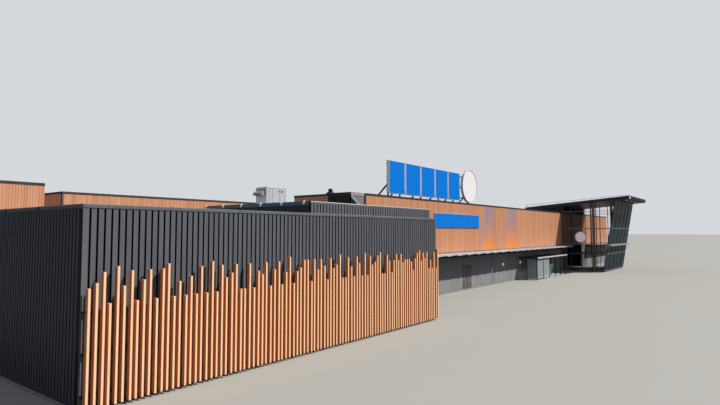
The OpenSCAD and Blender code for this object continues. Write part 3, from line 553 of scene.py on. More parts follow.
def makePiece(name, parts, body="building", replaces=()):
    # parts is a list of (shape, paint name), or (shape, paint name, tone of each vertex)
    shapes = [part[0] for part in parts]
    names = list(dict.fromkeys(part[1] for part in parts))
    points, faces = joinShapes(shapes)
    mesh = bpy.data.meshes.new(name)
    mesh.from_pydata(toModel(points).tolist(), [], faces)
    for paintName in names:
        mesh.materials.append(paint[paintName])
    slots = np.repeat([names.index(part[1]) for part in parts], [len(shape[1]) for shape in shapes])
    mesh.polygons.foreach_set("material_index", slots.astype(np.int32))
    tones = [part[2] if len(part) > 2 else np.zeros(len(part[0][0])) for part in parts]
    toneLayer = mesh.attributes.new("tone", "FLOAT", "POINT")
    toneLayer.data.foreach_set("value", np.concatenate(tones).astype(np.float32))
    work = bmesh.new()
    work.from_mesh(mesh)
    bmesh.ops.recalc_face_normals(work, faces=work.faces)
    work.to_mesh(mesh)
    work.free()
    piece = bpy.data.objects.new(name, mesh)
    bpy.context.scene.collection.objects.link(piece)
    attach(piece, body)
    if replaces:
        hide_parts(*replaces)


def prism(axis, outline, low, high):
    # an outline in the plane square to an axis, carried from low to high along that axis
    signs = {"x": (-1, 1), "y": (1, 1), "z": (1, -1)}[axis]
    start, end = np.zeros(3), np.zeros(3)
    start["xyz".index(axis)], end["xyz".index(axis)] = low, high
    up = (0, -1, 0) if axis == "z" else (0, 0, 1)
    return carryProfile(np.array(outline, float) * signs, start, end, up)


def turned(profile, centre, axis="z", steps=48):
    # lathe: point(angle, k) = centre + radius k * (cos, sin) of the angle + height k along the axis
    radius, height = np.asarray(profile, float).T
    angle = np.linspace(0, 2 * math.pi, steps, endpoint=False)[:, None]
    first, second = radius * np.cos(angle), radius * np.sin(angle)
    third = np.broadcast_to(height, first.shape)
    parts = {"z": (first, second, third), "y": (first, third, second), "x": (third, first, second)}[axis]
    points = np.stack(parts, axis=-1).reshape(-1, 3) + np.array(centre, float)
    count = len(radius)
    i, j = np.meshgrid(np.arange(steps), np.arange(count - 1), indexing="ij")
    n = (i + 1) % steps
    quads = np.stack([i * count + j, n * count + j, n * count + j + 1, i * count + j + 1], axis=-1)
    rings = [np.arange(steps) * count, np.arange(steps) * count + count - 1]
    return points, quads.reshape(-1, 4).tolist() + [ring.tolist() for ring in rings]


def alongWall(profile, start, end, inward, height):
    # a profile of (distance inward, height) carried along a wall from start to end
    a, b = np.append(np.array(start, float), height), np.append(np.array(end, float), height)
    across = np.cross(b - a, (0, 0, 1))
    sign = 1.0 if np.dot(across[:2], inward) > 0 else -1.0
    return carryProfile(np.array(profile, float) * (sign, 1.0), a, b, (0, 0, 1))


wallThick = 0.25
strap = {"wide": 0.1, "every": 3.0, "spare": 0.3}  # spare: no cover this near to a wall's end


def straps(start, end, inward, low, high, near, far):
    # joint covers square to a wall, evenly apart, from near to far behind its face
    start, end = np.array(start, float), np.array(end, float)
    span = np.linalg.norm(end - start)
    direction, inward = (end - start) / span, np.array(inward, float)
    every, wide = strap["every"], strap["wide"]
    spots = start + direction * np.arange(every, span - strap["spare"], every)[:, None]
    corners = np.stack([spots + inward * near - direction * wide / 2,
                        spots + inward * far + direction * wide / 2])
    return bars(places(*corners.min(axis=0).T, low), places(*corners.max(axis=0).T, high), 0.002)


def facing(start, end, low, high, inward, spec, seed):
    # Boards or panels side by side from start to end (x, y), with a tone for each. Their faces lie
    # outward, and board k stands at start + (k + 0.5) * pitch along the wall.
    start, end, inward = [np.array(v, float) for v in (start, end, inward)]
    span = np.linalg.norm(end - start)
    count = max(1, round(span / spec["pitch"]))
    half, edge, thick = (span / count - spec["gap"]) / 2, spec["edge"], spec["thick"]
    back = start + (end - start) * ((np.arange(count) + 0.5) / count)[:, None] + inward * thick
    profile = [(-half, 0), (half, 0), (half, thick - edge), (half - edge, thick),
               (-half + edge, thick), (-half, thick - edge)]
    shape = carryProfile(profile, places(*back.T, low), places(*back.T, high), (-inward[0], -inward[1], 0))
    luck = np.random.default_rng(seed).uniform(-1, 1, count)
    return shape, np.repeat(luck, 2 * len(profile))


def backing(start, end, low, high, inward, near, far):
    # plain wall behind the boards, from near to far behind their face, stopping short of its ends so
    # that the boards close each corner
    start, end, inward = [np.array(v, float) for v in (start, end, inward)]
    deep = inward * (near + far) / 2
    short = (end - start) / np.linalg.norm(end - start) * (near + 0.006)
    a, b = np.append(start + short + deep, (low + high) / 2), np.append(end - short + deep, (low + high) / 2)
    return carryProfile(bevelled(far - near, high - low, 0.002), a, b, (0, 0, 1))


def boardWalls(runs, low, high, spec, boardPaint, seed):
    # boards and their backing along each run of (start, end, inward)
    parts = []
    for number, (start, end, inward) in enumerate(runs):
        shape, tones = facing(start, end, low, high, inward, spec, seed + number)
        parts.append((shape, boardPaint, tones))
        parts.append((backing(start, end, low, high, inward, spec["thick"], wallThick), "rubber"))
    return parts


# Timber band: boards round the hall, and on the walls behind the service block
boards = {"pitch": 0.146, "gap": 0.009, "edge": 0.004, "thick": 0.024}
joint = {"x": 44.9, "half": 0.02, "strip": 0.1, "near": 0.03, "far": 0.2}
bandLow, bandHigh = realBox("front_band")
hallHigh = realBox("outer_band")[1]
stepLow, stepHigh = realBox("step_band")
towerLow, towerHigh = realBox("hatch_tower")
# lines of the walls behind the service block: a recess between x and rearX goes back to recessY, and
# the wall at returnX has a parapet as far back as parapetY, and from there on only a low kerb
step = {"y": 9.9, "x": 5.0, "rearX": 8.2, "rearY": 15.4, "recessY": 19.0,
        "returnX": 20.9, "parapetY": 5.95, "kerb": 7.45}
frontRuns = [((bandLow[0], 0), (joint["x"] - joint["half"], 0), (0, 1)),
             ((joint["x"] + joint["half"], 0), (bandHigh[0], 0), (0, 1))]
jointStrip = bars((joint["x"] - joint["strip"], joint["near"], bandLow[2]),
                  (joint["x"] + joint["strip"], joint["far"], bandHigh[2]))


def outerRuns(thick):
    # left, rear and right wall; each starts or ends where its neighbour's boards cover the corner
    rear, right = hallHigh[1], hallHigh[0]
    return [((0, step["y"] + thick), (0, rear), (1, 0)),
            ((thick, rear), (right - thick, rear), (0, -1)),
            ((right, thick), (right, rear), (-1, 0))]


makePiece("front_band_boards",
          boardWalls(frontRuns, bandLow[2], bandHigh[2], boards, "zoned_band", 11) + [(jointStrip, "rubber")],
          replaces=["front_band"])
makePiece("outer_band_boards",
          boardWalls(outerRuns(boards["thick"]), bandLow[2], bandHigh[2], boards, "timber_band", 21),
          replaces=["outer_band"])
# corners of the walls behind the service block, from the left: outer wall, recess, rear wall
stepRuns = [
    ((0, step["y"]), (step["x"], step["y"]), (0, 1)),
    ((step["x"], step["y"] + boards["thick"]), (step["x"], step["recessY"] + wallThick), (-1, 0)),
    ((step["x"] - wallThick, step["recessY"]), (step["rearX"] + wallThick, step["recessY"]), (0, 1)),
    ((step["rearX"], step["rearY"] + boards["thick"]), (step["rearX"], step["recessY"] + wallThick), (1, 0)),
    ((step["rearX"], step["rearY"]), (hallHigh[0] - wallThick, step["rearY"]), (0, 1)),
]
parapetRun = ((step["returnX"], towerHigh[1]), (step["returnX"], step["parapetY"]), (1, 0))
kerbRun = ((step["returnX"], step["parapetY"]), (step["returnX"], step["rearY"]), (1, 0))
makePiece("step_band_boards",
          boardWalls(stepRuns + [parapetRun], stepLow[2], stepHigh[2], boards, "timber_band", 31)
          + boardWalls([kerbRun], stepLow[2], step["kerb"], boards, "timber_band", 37),
          replaces=["step_band"])
corner = {"wide": 0.14, "proud": 0.012, "deep": 0.03, "foot": 0.3}
cornerLow = np.array([step["rearX"] - corner["proud"], step["rearY"] - corner["proud"],
                      stepLow[2] + corner["foot"]])
makePiece("step_corner_trim", [(bars([cornerLow, cornerLow], [
    (cornerLow[0] + corner["wide"], step["rearY"] + corner["deep"], stepHigh[2]),
    (step["rearX"] + corner["deep"], cornerLow[1] + corner["wide"], stepHigh[2])]), "grey_cap")])
print("timber band ready")

# Base wall: tall fibre-cement panels with open joints, on a concrete kerb
panels = {"pitch": 1.15, "gap": 0.014, "edge": 0.006, "thick": 0.04, "kerb": 0.12, "kerbIn": 0.01}
baseLow, baseHigh = realBox("base_wall")
doorLow, doorHigh = realBox("service_door_frame")
lobby = {"left": 70.6, "right": 78.0}
kerbTop = baseLow[2] + panels["kerb"]
frontX = np.array([(baseLow[0], doorLow[0]), (doorHigh[0], lobby["left"]), (lobby["right"], baseHigh[0])])
frontWalls = [((a, 0), (b, 0), (0, 1)) for a, b in frontX]
frontKerbs = bars(places(frontX[:, 0], panels["kerbIn"], baseLow[2]),
                  places(frontX[:, 1], wallThick, kerbTop))
makePiece("base_wall_panels",
          boardWalls(frontWalls, kerbTop, baseHigh[2], panels, "base_panels", 41)
          + [(frontKerbs, "concrete_floor")], replaces=["base_wall"])
sideRuns = outerRuns(panels["thick"])
makePiece("outer_wall_panels",
          boardWalls(sideRuns, kerbTop, baseHigh[2], panels, "base_panels", 51)
          + [(backing(a, b, baseLow[2], kerbTop, inward, panels["kerbIn"], wallThick), "concrete_floor")
             for a, b, inward in sideRuns], replaces=["outer_walls"])
print("base walls ready")

# Coping: folded aluminium along the parapets, with a drip in front of the boards and joint covers
cope = {"wide": 0.33, "fall": 0.015, "drip": 0.09, "lip": 0.018, "rear": 0.04, "edge": 0.01, "sheet": 0.012}
copeLow, copeHigh = realBox("coping")
copeRuns = [
    ((bandLow[0], 0), (hallHigh[0], 0), (0, 1), True),
    ((hallHigh[0], 0), (hallHigh[0], hallHigh[1]), (-1, 0), False),
    ((0, hallHigh[1]), (hallHigh[0], hallHigh[1]), (0, -1), False),
    ((0, step["y"]), (0, hallHigh[1]), (1, 0), False),
    parapetRun + (True,),
] + [run + (True,) for run in stepRuns]


def copeProfile(thick, hangs):
    # outline of the fold: the drip and lip only where the wall's face has room for them
    lip, drip = (cope["lip"], cope["drip"]) if hangs else (0.0, 0.0)
    wide, rear, edge, rearTop = cope["wide"], -cope["rear"], cope["edge"], thick - cope["fall"]
    inner = wide - cope["sheet"]
    outline = [(-lip, -drip), (-lip, thick - edge), (edge - lip, thick), (wide - edge, rearTop),
               (wide, rearTop - edge), (wide, rear), (inner, rear), (inner, 0.0)]
    return outline + ([(0.0, 0.0), (0.0, -drip)] if hangs else [])


copeParts = []
for start, end, inward, hangs in copeRuns:
    outline = copeProfile(copeHigh[2] - copeLow[2], hangs)
    copeParts.append((alongWall(outline, start, end, inward, copeLow[2]), "dark_coping"))
    copeParts.append((straps(start, end, inward, copeHigh[2] - 0.03, copeHigh[2] + 0.004, 0.004,
                             cope["wide"] - 0.006), "dark_coping"))
makePiece("parapet_coping", copeParts, replaces=["coping"])

# Cap of the service block: folded sheet with a small chamfer along its outer edge
capLow, capHigh = realBox("service_cap")
cap = {"front": 0.26, "left": 0.24, "right": 0.26, "edge": 0.022, "fall": 0.012, "under": 0.03}
capRuns = [
    ((0, capLow[1]), (capHigh[0], capLow[1]), (0, 1), cap["front"]),
    ((0, capLow[1] + cap["front"]), (0, capHigh[1]), (1, 0), cap["left"]),
    ((capHigh[0], capLow[1] + cap["front"]), (capHigh[0], towerLow[1] + 0.02), (-1, 0), cap["right"]),
]
capParts = []
for start, end, inward, wide in capRuns:
    tall, under = capHigh[2] - capLow[2], cap["under"]
    outline = [(0, under), (0, tall - cap["edge"]), (cap["edge"], tall), (wide, tall - cap["fall"]),
               (wide, 0), (under, 0), (under, under)]  # with a shadow gap under its outer edge
    capParts.append((alongWall(outline, start, end, inward, capLow[2]), "grey_cap"))
    capParts.append((straps(start, end, inward, capLow[2] + under, capHigh[2] + 0.003,
                            0.0 if inward == (1, 0) else -0.004, wide - 0.01), "grey_cap"))
makePiece("service_cap_folds", capParts, replaces=["service_cap"])

# Corner trims of the service block, and the dark kerb flashing at its foot
trim = {"side": 0.16, "proud": 0.012, "flash": 0.14, "foot": 0.02, "deep": 0.02}
blockRight, blockFront = blockHigh[0], blockLow[1]
trimFront, trimRight = blockFront - trim["proud"], blockRight + trim["proud"]
trimIn, trimTop = blockFront + trim["deep"], capLow[2]
makePiece("service_corner_trims", [
    (bars([(0, trimFront, trim["foot"]), (blockRight - trim["side"], trimFront, trim["foot"]),
           (blockRight - trim["deep"], trimIn, trim["foot"])],
          [(trim["side"], trimIn, trimTop), (trimRight, trimIn, trimTop),
           (trimRight, blockFront + trim["side"], trimTop)]), "grey_cap"),
    (bars((trim["side"], trimFront, trim["foot"]),
          (blockRight - trim["side"], blockFront + 0.01, trim["foot"] + trim["flash"])), "black_steel"),
])
print("copings and trims ready")

# Roof screen: a navy top sheet over dark lower sheets, in panels, and a light trim on its front
screen = {"split": 6.68, "pitch": 1.515, "gap": 0.012, "edge": 0.006, "thick": 0.03, "proud": 0.02,
          "trim": 0.045, "trimOut": 0.012}
screenLow, screenHigh = realBox("roof_screen_sides")
frontScreenLow, frontScreenHigh = realBox("roof_screen_front")
screenThick = frontScreenHigh[1] - frontScreenLow[1]


def screenSide(start, end, inward, low, seed):
    # dark lower sheets set back by proud, and navy upper sheets flush with the screen's face
    setBack = np.array(inward, float) * screen["proud"]
    upper, tones = facing(start, end, screen["split"], screenHigh[2], inward, screen, seed)
    back = backing(start, end, low, screenHigh[2], inward, screen["thick"], screenThick)
    lower, lowTones = facing(setBack + start, setBack + end, low, screen["split"] - 0.01, inward,
                             dict(screen, thick=screen["thick"] - screen["proud"]), seed + 1)
    return [(upper, "navy_panels", tones), (back, "dark_panels"), (lower, "dark_panels", lowTones)]


screenLeft, screenRear, screenFront = screenLow[0], screenHigh[1], frontScreenHigh[1]
makePiece("roof_screen_panels",
          screenSide((screenLeft, screenFront), (screenLeft, screenRear), (1, 0), screenLow[2], 61)
          + screenSide((screenLeft + screenThick, screenRear), (step["returnX"], screenRear), (0, -1),
                       screenLow[2], 63)
          + screenSide((blockRight, screenFront), (blockRight, towerLow[1]), (-1, 0), capHigh[2], 65),
          replaces=["roof_screen_sides"])
makePiece("roof_screen_trim", [(bars(
    (frontScreenLow[0], frontScreenLow[1] - screen["trimOut"], screenHigh[2] - screen["trim"]),
    (blockRight, frontScreenLow[1], screenHigh[2]), 0.003), "canopy_grey")])

# Hatch tower: ribbed left side, a light panel over a brace, and a dark panel under it that is a painted
# shadow of the brace; its cap is pale only on its front, with painted shade on its left side and top
tower = {"inset": 0.02, "thick": 0.12, "top": 0.24, "brace": 0.13, "rib": 0.2275, "groove": 0.06,
         "ribWide": 0.16, "slope": 0.72, "trim": 0.05, "overhang": 0.02, "capFront": 0.04}
layers = {"brace": (-0.018, 0.05), "light": (0.01, 0.06), "dark": (0.05, 0.11)}  # depths from its face
leftX, frontY, footZ = towerLow + (tower["inset"], tower["inset"], 0)
rightX, rearY, capZ = towerHigh
headZ = capZ - tower["top"]
ribCount = round((rearY - frontY) / tower["rib"])
ribY = frontY + (np.arange(ribCount) + 0.5) * (rearY - frontY) / ribCount
brace = tower["brace"]
braceFoot = headZ - tower["slope"] * (rightX - leftX)
capX, capY = leftX - tower["overhang"], frontY + tower["capFront"]
makePiece("hatch_tower_cladding", [
    (bars(places(leftX, ribY - tower["ribWide"] / 2, footZ),
          places(leftX + tower["groove"], ribY + tower["ribWide"] / 2, headZ), 0.006), "dark_steel"),
    (bars([(leftX + tower["groove"], frontY + 0.03, footZ), (leftX, frontY, footZ)],
          [(leftX + tower["thick"], rearY, headZ), (leftX + tower["trim"], frontY + tower["trim"], headZ)]),
     "black_steel"),
    (bars([(leftX + 0.01, rearY - tower["thick"], footZ), (rightX - tower["thick"], frontY + 0.03, footZ)],
          [(rightX, rearY - 0.002, headZ), (rightX, rearY - 0.01, headZ)]), "dark_steel"),
    # black panel behind the brace: painted shadow below the brace
    (prism("y", [(leftX, footZ), (rightX, footZ), (rightX, headZ), (leftX, headZ)],
           frontY + layers["dark"][0], frontY + layers["dark"][1]), "black_steel"),
    (prism("y", [(leftX + brace, headZ), (rightX, braceFoot + brace), (rightX, headZ)],
           frontY + layers["light"][0], frontY + layers["light"][1]), "grey_panels"),
    (prism("y", [(leftX, headZ), (leftX, headZ - brace), (rightX, braceFoot), (rightX, braceFoot + brace),
                 (leftX + brace, headZ)], frontY + layers["brace"][0], frontY + layers["brace"][1]),
     "pale_caps"),
    # cap dark on its left side and top, pale on the front: painted shade
    (bars((capX, capY, headZ), (rightX, rearY, capZ), 0.01), "dark_steel"),
    (bars((capX, frontY - tower["overhang"], headZ), (rightX, capY, capZ), 0.008), "hood_pale"),
], replaces=["hatch_tower"])

# Roof cowl, turned: a tube, a broad hood with a rolled rim, and its knob. Rows of (radius, height)
cowl = {
    "deck": 7.3, "sides": 40,
    "tube": [(0.36, 0.0), (0.36, 0.05), (0.29, 0.07), (0.28, 0.08), (0.28, 0.84)],
    "hood": [(0.50, 0.845), (0.55, 0.85), (0.55, 0.875), (0.53, 0.89), (0.42, 0.96), (0.30, 1.06)],
    "knob": [(0.215, 1.14), (0.165, 1.155), (0.165, 1.30), (0.15, 1.35), (0.09, 1.375), (0.02, 1.38)]}
cowlMiddle = sum(realBox("roof_cowl")) / 2
makePiece("roof_cowl_turned", [
    (turned(cowl["tube"] + cowl["hood"] + cowl["knob"], (cowlMiddle[0], cowlMiddle[1], cowl["deck"]),
            steps=cowl["sides"]), "black_steel")], replaces=["roof_cowl"])

# Air handler: a white case between grey posts and rails, on skids, with door panels and latches on its
# front and louvres over its side panel
handler = {"post": 0.05, "set": 0.012, "doors": (0.0, 0.17, 0.31, 0.67, 1.0), "doorGap": 0.02,
           "latchTall": 0.14, "latchOut": 0.032, "topRail": 0.07, "footRail": 0.06, "panelTop": 8.56,
           "louvreLow": 8.66, "louvreEvery": 0.12, "louvreTall": 0.05, "louvreEnd": 0.2, "louvres": 5,
           "skid": 0.2, "skidWide": 0.12, "skidEnd": 0.06, "skidIn": 0.15,
           "doorDeep": 0.06, "doorTop": 0.08, "side": (0.01, 0.05), "sideIn": 0.06, "louvreOut": 0.004}
latches = [(0.62, 0.79, 0.1), (0.75, 0.79, 0.2), (0.36, 0.23, 0.12), (0.52, 0.23, 0.12)]  # shares, width
plantLow, plantHigh = realBox("air_handler")
caseLow = plantLow + (0, 0, handler["skid"])
caseSize = plantHigh - caseLow
doorsX = plantLow[0] + np.array(handler["doors"]) * caseSize[0]
latchLows = np.array([caseLow + (u * caseSize[0], 0.0, v * caseSize[2]) for u, v, wide in latches])
latchSizes = np.array([(wide, handler["latchOut"], handler["latchTall"]) for u, v, wide in latches])
posts = np.array([(x, y, caseLow[2]) for x in (plantLow[0], plantHigh[0] - handler["post"])
                  for y in (plantLow[1], plantHigh[1] - handler["post"])])
louvreZ = handler["louvreLow"] + np.arange(handler["louvres"]) * handler["louvreEvery"]
skidX = (plantLow[0] + handler["skidEnd"], plantHigh[0] - handler["skidEnd"])
skidY = np.array([plantLow[1] + handler["skidIn"], plantHigh[1] - handler["skidIn"] - handler["skidWide"]])
railTop, sideRear = caseLow[2] + handler["footRail"], plantLow[0] + handler["side"][1]
makePiece("air_handler_casing", [
    (bars((plantLow[0], plantLow[1], plantHigh[2] - handler["topRail"]), plantHigh, 0.012), "casing_grey"),
    (bars(caseLow, (plantHigh[0], plantHigh[1], railTop), 0.008), "hood_grey"),
    # side panel whiter than the grey front panels: painted light that brightens the shaded side
    (bars((plantLow[0] + handler["side"][0], plantLow[1] + handler["sideIn"], railTop),
          (sideRear, plantHigh[1] - handler["sideIn"], handler["panelTop"]), 0.006), "white_casing"),
    (bars(caseLow + (0.03, 0.04, 0.0), plantHigh - (0.03, 0.03, 0.02)), "white_casing"),
    (bars(posts, posts + (handler["post"], handler["post"], caseSize[2]), 0.006), "casing_grey"),
    (bars(places(doorsX[:-1] + handler["doorGap"], plantLow[1] + handler["set"], railTop),
          places(doorsX[1:] - handler["doorGap"], plantLow[1] + handler["doorDeep"],
                 plantHigh[2] - handler["doorTop"]), 0.006), "casing_grey"),
    (bars(latchLows, latchLows + latchSizes), "dark_steel"),
    (bars(places(plantLow[0] + handler["louvreOut"], plantLow[1] + handler["louvreEnd"], louvreZ),
          places(sideRear, plantHigh[1] - handler["louvreEnd"], louvreZ + handler["louvreTall"]),
          0.006), "hood_grey"),
    (bars(places(skidX[0], skidY, plantLow[2]),
          places(skidX[1], skidY + handler["skidWide"], caseLow[2]), 0.006), "galvanised_frame"),
], replaces=["air_handler"])
print("roof pieces ready")

# Signs: plain boxes with pale returns and slightly proud blue faces, a round panel, a plain board
sign = {"count": 5, "gap": 0.18, "rim": 0.03, "face": 0.03, "set": 0.012, "sides": 72, "lip": 0.045}
hub = 0.02  # radius of the flat at the middle of a turned disc
signLow, signHigh = realBox("sign_boxes")
boxWide = (signHigh[0] - signLow[0] - (sign["count"] - 1) * sign["gap"]) / sign["count"]
boxX = signLow[0] + np.arange(sign["count"]) * (boxWide + sign["gap"])
makePiece("sign_box_row", [
    (bars(places(boxX, signLow[1] + sign["set"], signLow[2]),
          places(boxX + boxWide, signHigh[1], signHigh[2]), 0.008), "sign_white"),
    (bars(places(boxX + sign["rim"], signLow[1], signLow[2] + sign["rim"]),
          places(boxX + boxWide - sign["rim"], signLow[1] + sign["face"], signHigh[2] - sign["rim"]), 0.008),
     "sign_blue")], replaces=["sign_boxes"])
roundLow, roundHigh = realBox("sign_panel_white")
roundAt = ((roundLow[0] + roundHigh[0]) / 2, roundLow[1], (roundLow[2] + roundHigh[2]) / 2)
radius, deep = (roundHigh[0] - roundLow[0]) / 2, roundHigh[1] - roundLow[1]
inside = radius - sign["lip"]
makePiece("sign_disc", [
    (turned([(hub, 0.03), (inside - 0.025, 0.025), (inside, 0.03)], roundAt, "y", sign["sides"]),
     "sign_white"),
    (turned([(hub, deep - 0.01), (radius - 0.03, deep), (radius, deep - 0.03), (radius, 0.02),
             (radius - 0.02, 0.0), (inside, 0.0), (inside, 0.05), (hub, 0.05)],
            roundAt, "y", sign["sides"]), "casing_grey")], replaces=["sign_panel_white"])
boardLow, boardHigh = realBox("wall_sign_board")
makePiece("wall_board", [
    (bars(boardLow + (0, 0.015, 0), boardHigh, 0.006), "casing_grey"),
    (bars(boardLow + (0.02, 0, 0.02), boardHigh - (0.02, 0.06, 0.02), 0.006), "sign_blue")],
    replaces=["wall_sign_board"])
print("signs ready")

# Canopy: pale sheet deck over a dark soffit and edge beam, whose darkness is painted shade under the deck,
# with a tapered fascia plate for each bay, a dark plate across its joint, and the ledge that goes on across
# the leaning glass
canopy = {"front": -1.5, "top": 3.5, "low": 3.32, "bay": 1.85, "plate": 0.05, "taper": 0.11, "gap": 0.012,
          "joint": (44.75, 45.0), "jointFront": -1.2, "deckUp": 0.07, "beam": 0.1, "beamTall": 0.06,
          "soffitUp": 0.03, "seam": 0.03, "seamUp": 0.02, "flashing": 0.09, "flashingY": (-0.035, -0.003),
          "chamfer": 0.03, "plateLow": 0.02, "plateTop": 0.004}
lean = {"foot": -5.25, "slope": 0.17, "glass": 0.03, "ledge": 0.4, "ledgeUp": 0.2}
entranceLow, entranceHigh = realBox("side_glass")
canopyRuns = [(blockRight + 0.04, canopy["joint"][0]), (canopy["joint"][1], entranceLow[0] - 0.02),
              (entranceHigh[0] + 0.02, hallHigh[0])]
beamY, lowZ, deckZ = canopy["front"] + canopy["plate"], canopy["low"], canopy["top"]
beamIn, deckLow, halfSeam = beamY + canopy["beam"], lowZ + canopy["deckUp"], canopy["seam"] / 2
plateLow, plateHigh = lowZ + canopy["plateLow"], deckZ - canopy["plateTop"]


def leanY(z):
    # outer line of the frame behind the leaning glass
    return float(lean["foot"] - lean["slope"] * z)


canopyParts = []
for runLeft, runRight in canopyRuns:
    bayCount = max(1, round((runRight - runLeft) / canopy["bay"]))
    bay = (runRight - runLeft) / bayCount
    seams = np.arange(runLeft + bay, runRight - 0.1, bay)
    canopyParts += [
        (prism("x", [(beamY, deckLow), (0, deckLow), (0, deckZ), (beamIn, deckZ - canopy["chamfer"]),
                     (beamIn - canopy["chamfer"], deckZ), (beamY, deckZ)], runLeft, runRight), "canopy_grey"),
        # black edge beam under the fascia plates: a painted shadow line under the canopy's edge
        (bars((runLeft, beamY + 0.002, lowZ), (runRight, beamIn, lowZ + canopy["beamTall"])), "black_steel"),
        # dark soffit: painted shade under the pale deck
        (bars((runLeft, beamIn, lowZ + canopy["soffitUp"]), (runRight, 0, deckLow - 0.001)), "dark_steel"),
        (bars(places(seams - halfSeam, beamIn, deckZ - canopy["seamUp"]),
              places(seams + halfSeam, -0.02, deckZ + canopy["seamUp"])), "canopy_grey"),
        (bars((runLeft, canopy["flashingY"][0], deckZ - 0.01),
              (runRight, canopy["flashingY"][1], deckZ + canopy["flashing"])), "grey_cap")]
    for k in range(bayCount):
        a, b = runLeft + k * bay + canopy["gap"] / 2, runLeft + (k + 1) * bay - canopy["gap"] / 2
        # each plate's taper bares the black beam below it as a painted shadow
        plate = [(a, plateLow), (b, plateLow + canopy["taper"]), (b, plateHigh), (a, plateHigh)]
        canopyParts.append((prism("y", plate, canopy["front"], beamY), "canopy_grey"))
jointLow = lowZ + canopy["beamTall"]
canopyParts.append((bars((canopy["joint"][0] - 0.03, canopy["jointFront"], jointLow),
                         (canopy["joint"][1] + 0.03, -0.005, jointLow + 0.03)), "dark_steel"))
ledgeZ = deckZ + lean["ledgeUp"]
ledgeY = leanY(deckZ) - lean["glass"] - lean["ledge"]
canopyParts.append((prism("x", [
    (ledgeY, deckZ), (leanY(deckZ) - lean["glass"], deckZ), (leanY(ledgeZ) - lean["glass"], ledgeZ),
    (ledgeY + 0.02, ledgeZ - 0.02), (ledgeY, ledgeZ - 0.04)], entranceLow[0], entranceHigh[0]), "hood_pale"))
makePiece("canopy_sheets", canopyParts, replaces=["canopy"])

# Flat cover over the wall's movement joint, and two round bulkhead lights on the base wall
jointCover = {"left": 44.0, "right": 44.12, "low": 0.14, "high": 3.3, "proud": 0.012, "deep": 0.006}
makePiece("wall_joint_cover", [(bars(
    (jointCover["left"], -jointCover["proud"], jointCover["low"]),
    (jointCover["right"], jointCover["deep"], jointCover["high"])), "base_panels")])
wallLight = {"x": (46.7, 51.75), "z": 1.92, "sides": 32, "profile": [
    (hub, 0.0), (0.15, 0.0), (0.15, -0.03), (0.135, -0.045), (0.12, -0.05), (0.10, -0.075), (0.06, -0.095),
    (0.01, -0.1)]}
makePiece("wall_lights", [
    (turned(wallLight["profile"], (x, 0.0, wallLight["z"]), "y", wallLight["sides"]), "opal_lens")
    for x in wallLight["x"]])
print("canopy ready")

# Service door: lever handles on plates, and slatted vents, which ride on the leaves
handle = {"z": 1.15, "inset": 0.1, "wide": 0.05, "tall": 0.24, "thick": 0.008, "lever": 0.13,
          "leverY": (-0.06, -0.036), "leverTall": 0.024, "stem": [(0.011, -0.05), (0.011, 0.0)]}
vent = {"low": 0.12, "high": 0.43, "hinge": 0.1, "meeting": 0.16, "every": 0.05, "slat": 0.03, "thick": 0.012}


def doorFittings(nodeName, pieceName, bodyName, side):
    # side is 1 where the leaf's hinge is on its left and -1 where it is on its right
    leafLow, leafHigh = realBox(nodeName)
    hingeX, meetingX = (leafLow[0], leafHigh[0]) if side > 0 else (leafHigh[0], leafLow[0])
    plateX = meetingX - side * handle["inset"]
    leverX = sorted((plateX, plateX - side * handle["lever"]))
    halfWide, halfTall, halfLever = handle["wide"] / 2, handle["tall"] / 2, handle["leverTall"] / 2
    ventX = sorted((hingeX + side * vent["hinge"], meetingX - side * vent["meeting"]))
    slats = np.arange(leafLow[2] + vent["low"], leafLow[2] + vent["high"], vent["every"])
    makePiece(pieceName, [
        (bars((plateX - halfWide, -handle["thick"], handle["z"] - halfTall),
              (plateX + halfWide, 0.0, handle["z"] + halfTall), 0.002), "rail_steel"),
        (bars((leverX[0], handle["leverY"][0], handle["z"] - halfLever),
              (leverX[1], handle["leverY"][1], handle["z"] + halfLever)), "rail_steel"),
        (turned(handle["stem"], (plateX, 0.0, handle["z"]), "y", 16), "rail_steel"),
        (bars(places(ventX[0], -vent["thick"], slats), places(ventX[1], 0.0, slats + vent["slat"])),
         "door_brown"),
    ], body=bodyName)


doorFittings("service_door_left", "door_fittings_left", "service_leaf_left", 1)
doorFittings("service_door_right", "door_fittings_right", "service_leaf_right", -1)

# Shelter: a smoked ribbed roof sheet between a white front bar and dark side bars, whose darkness is painted
# shade on the sides away from the sun, and glass clamps
shelter = {"bar": 0.05, "rib": 0.25, "ribWide": 0.06, "bays": 5, "post": 0.08}
clamp = {"z": (0.35, 1.15, 1.95), "x": (-0.01, -0.11), "in": 0.012, "size": (0.04, 0.056, 0.05)}
roofLow, roofHigh = realBox("shelter_roof")
barTop = roofHigh[2] - 0.01
ribX = np.arange(roofLow[0] + shelter["rib"], roofHigh[0] - 0.2, shelter["rib"])
makePiece("shelter_roof_sheet", [
    (bars(roofLow + (0.04, 0.04, 0.02), roofHigh - (0.04, 0.0, 0.05)), "shelter_roof_glass"),
    (bars(roofLow, (roofHigh[0], roofLow[1] + shelter["bar"], barTop), 0.008), "shelter_white"),
    # dark side bars: painted shade on the bars that face away from the sun
    (bars(places((roofLow[0], roofHigh[0] - shelter["bar"]), roofLow[1] + shelter["bar"], roofLow[2]),
          places((roofLow[0] + shelter["bar"], roofHigh[0]), roofHigh[1], barTop), 0.008), "dark_steel"),
    (bars(places(ribX - shelter["ribWide"] / 2, roofLow[1] + 0.06, roofHigh[2] - 0.06),
          places(ribX + shelter["ribWide"] / 2, roofHigh[1] - 0.01, roofHigh[2] - 0.015), 0.012),
     "shelter_roof_glass")], replaces=["shelter_roof"])
frameLow, frameHigh = realBox("shelter_frame")
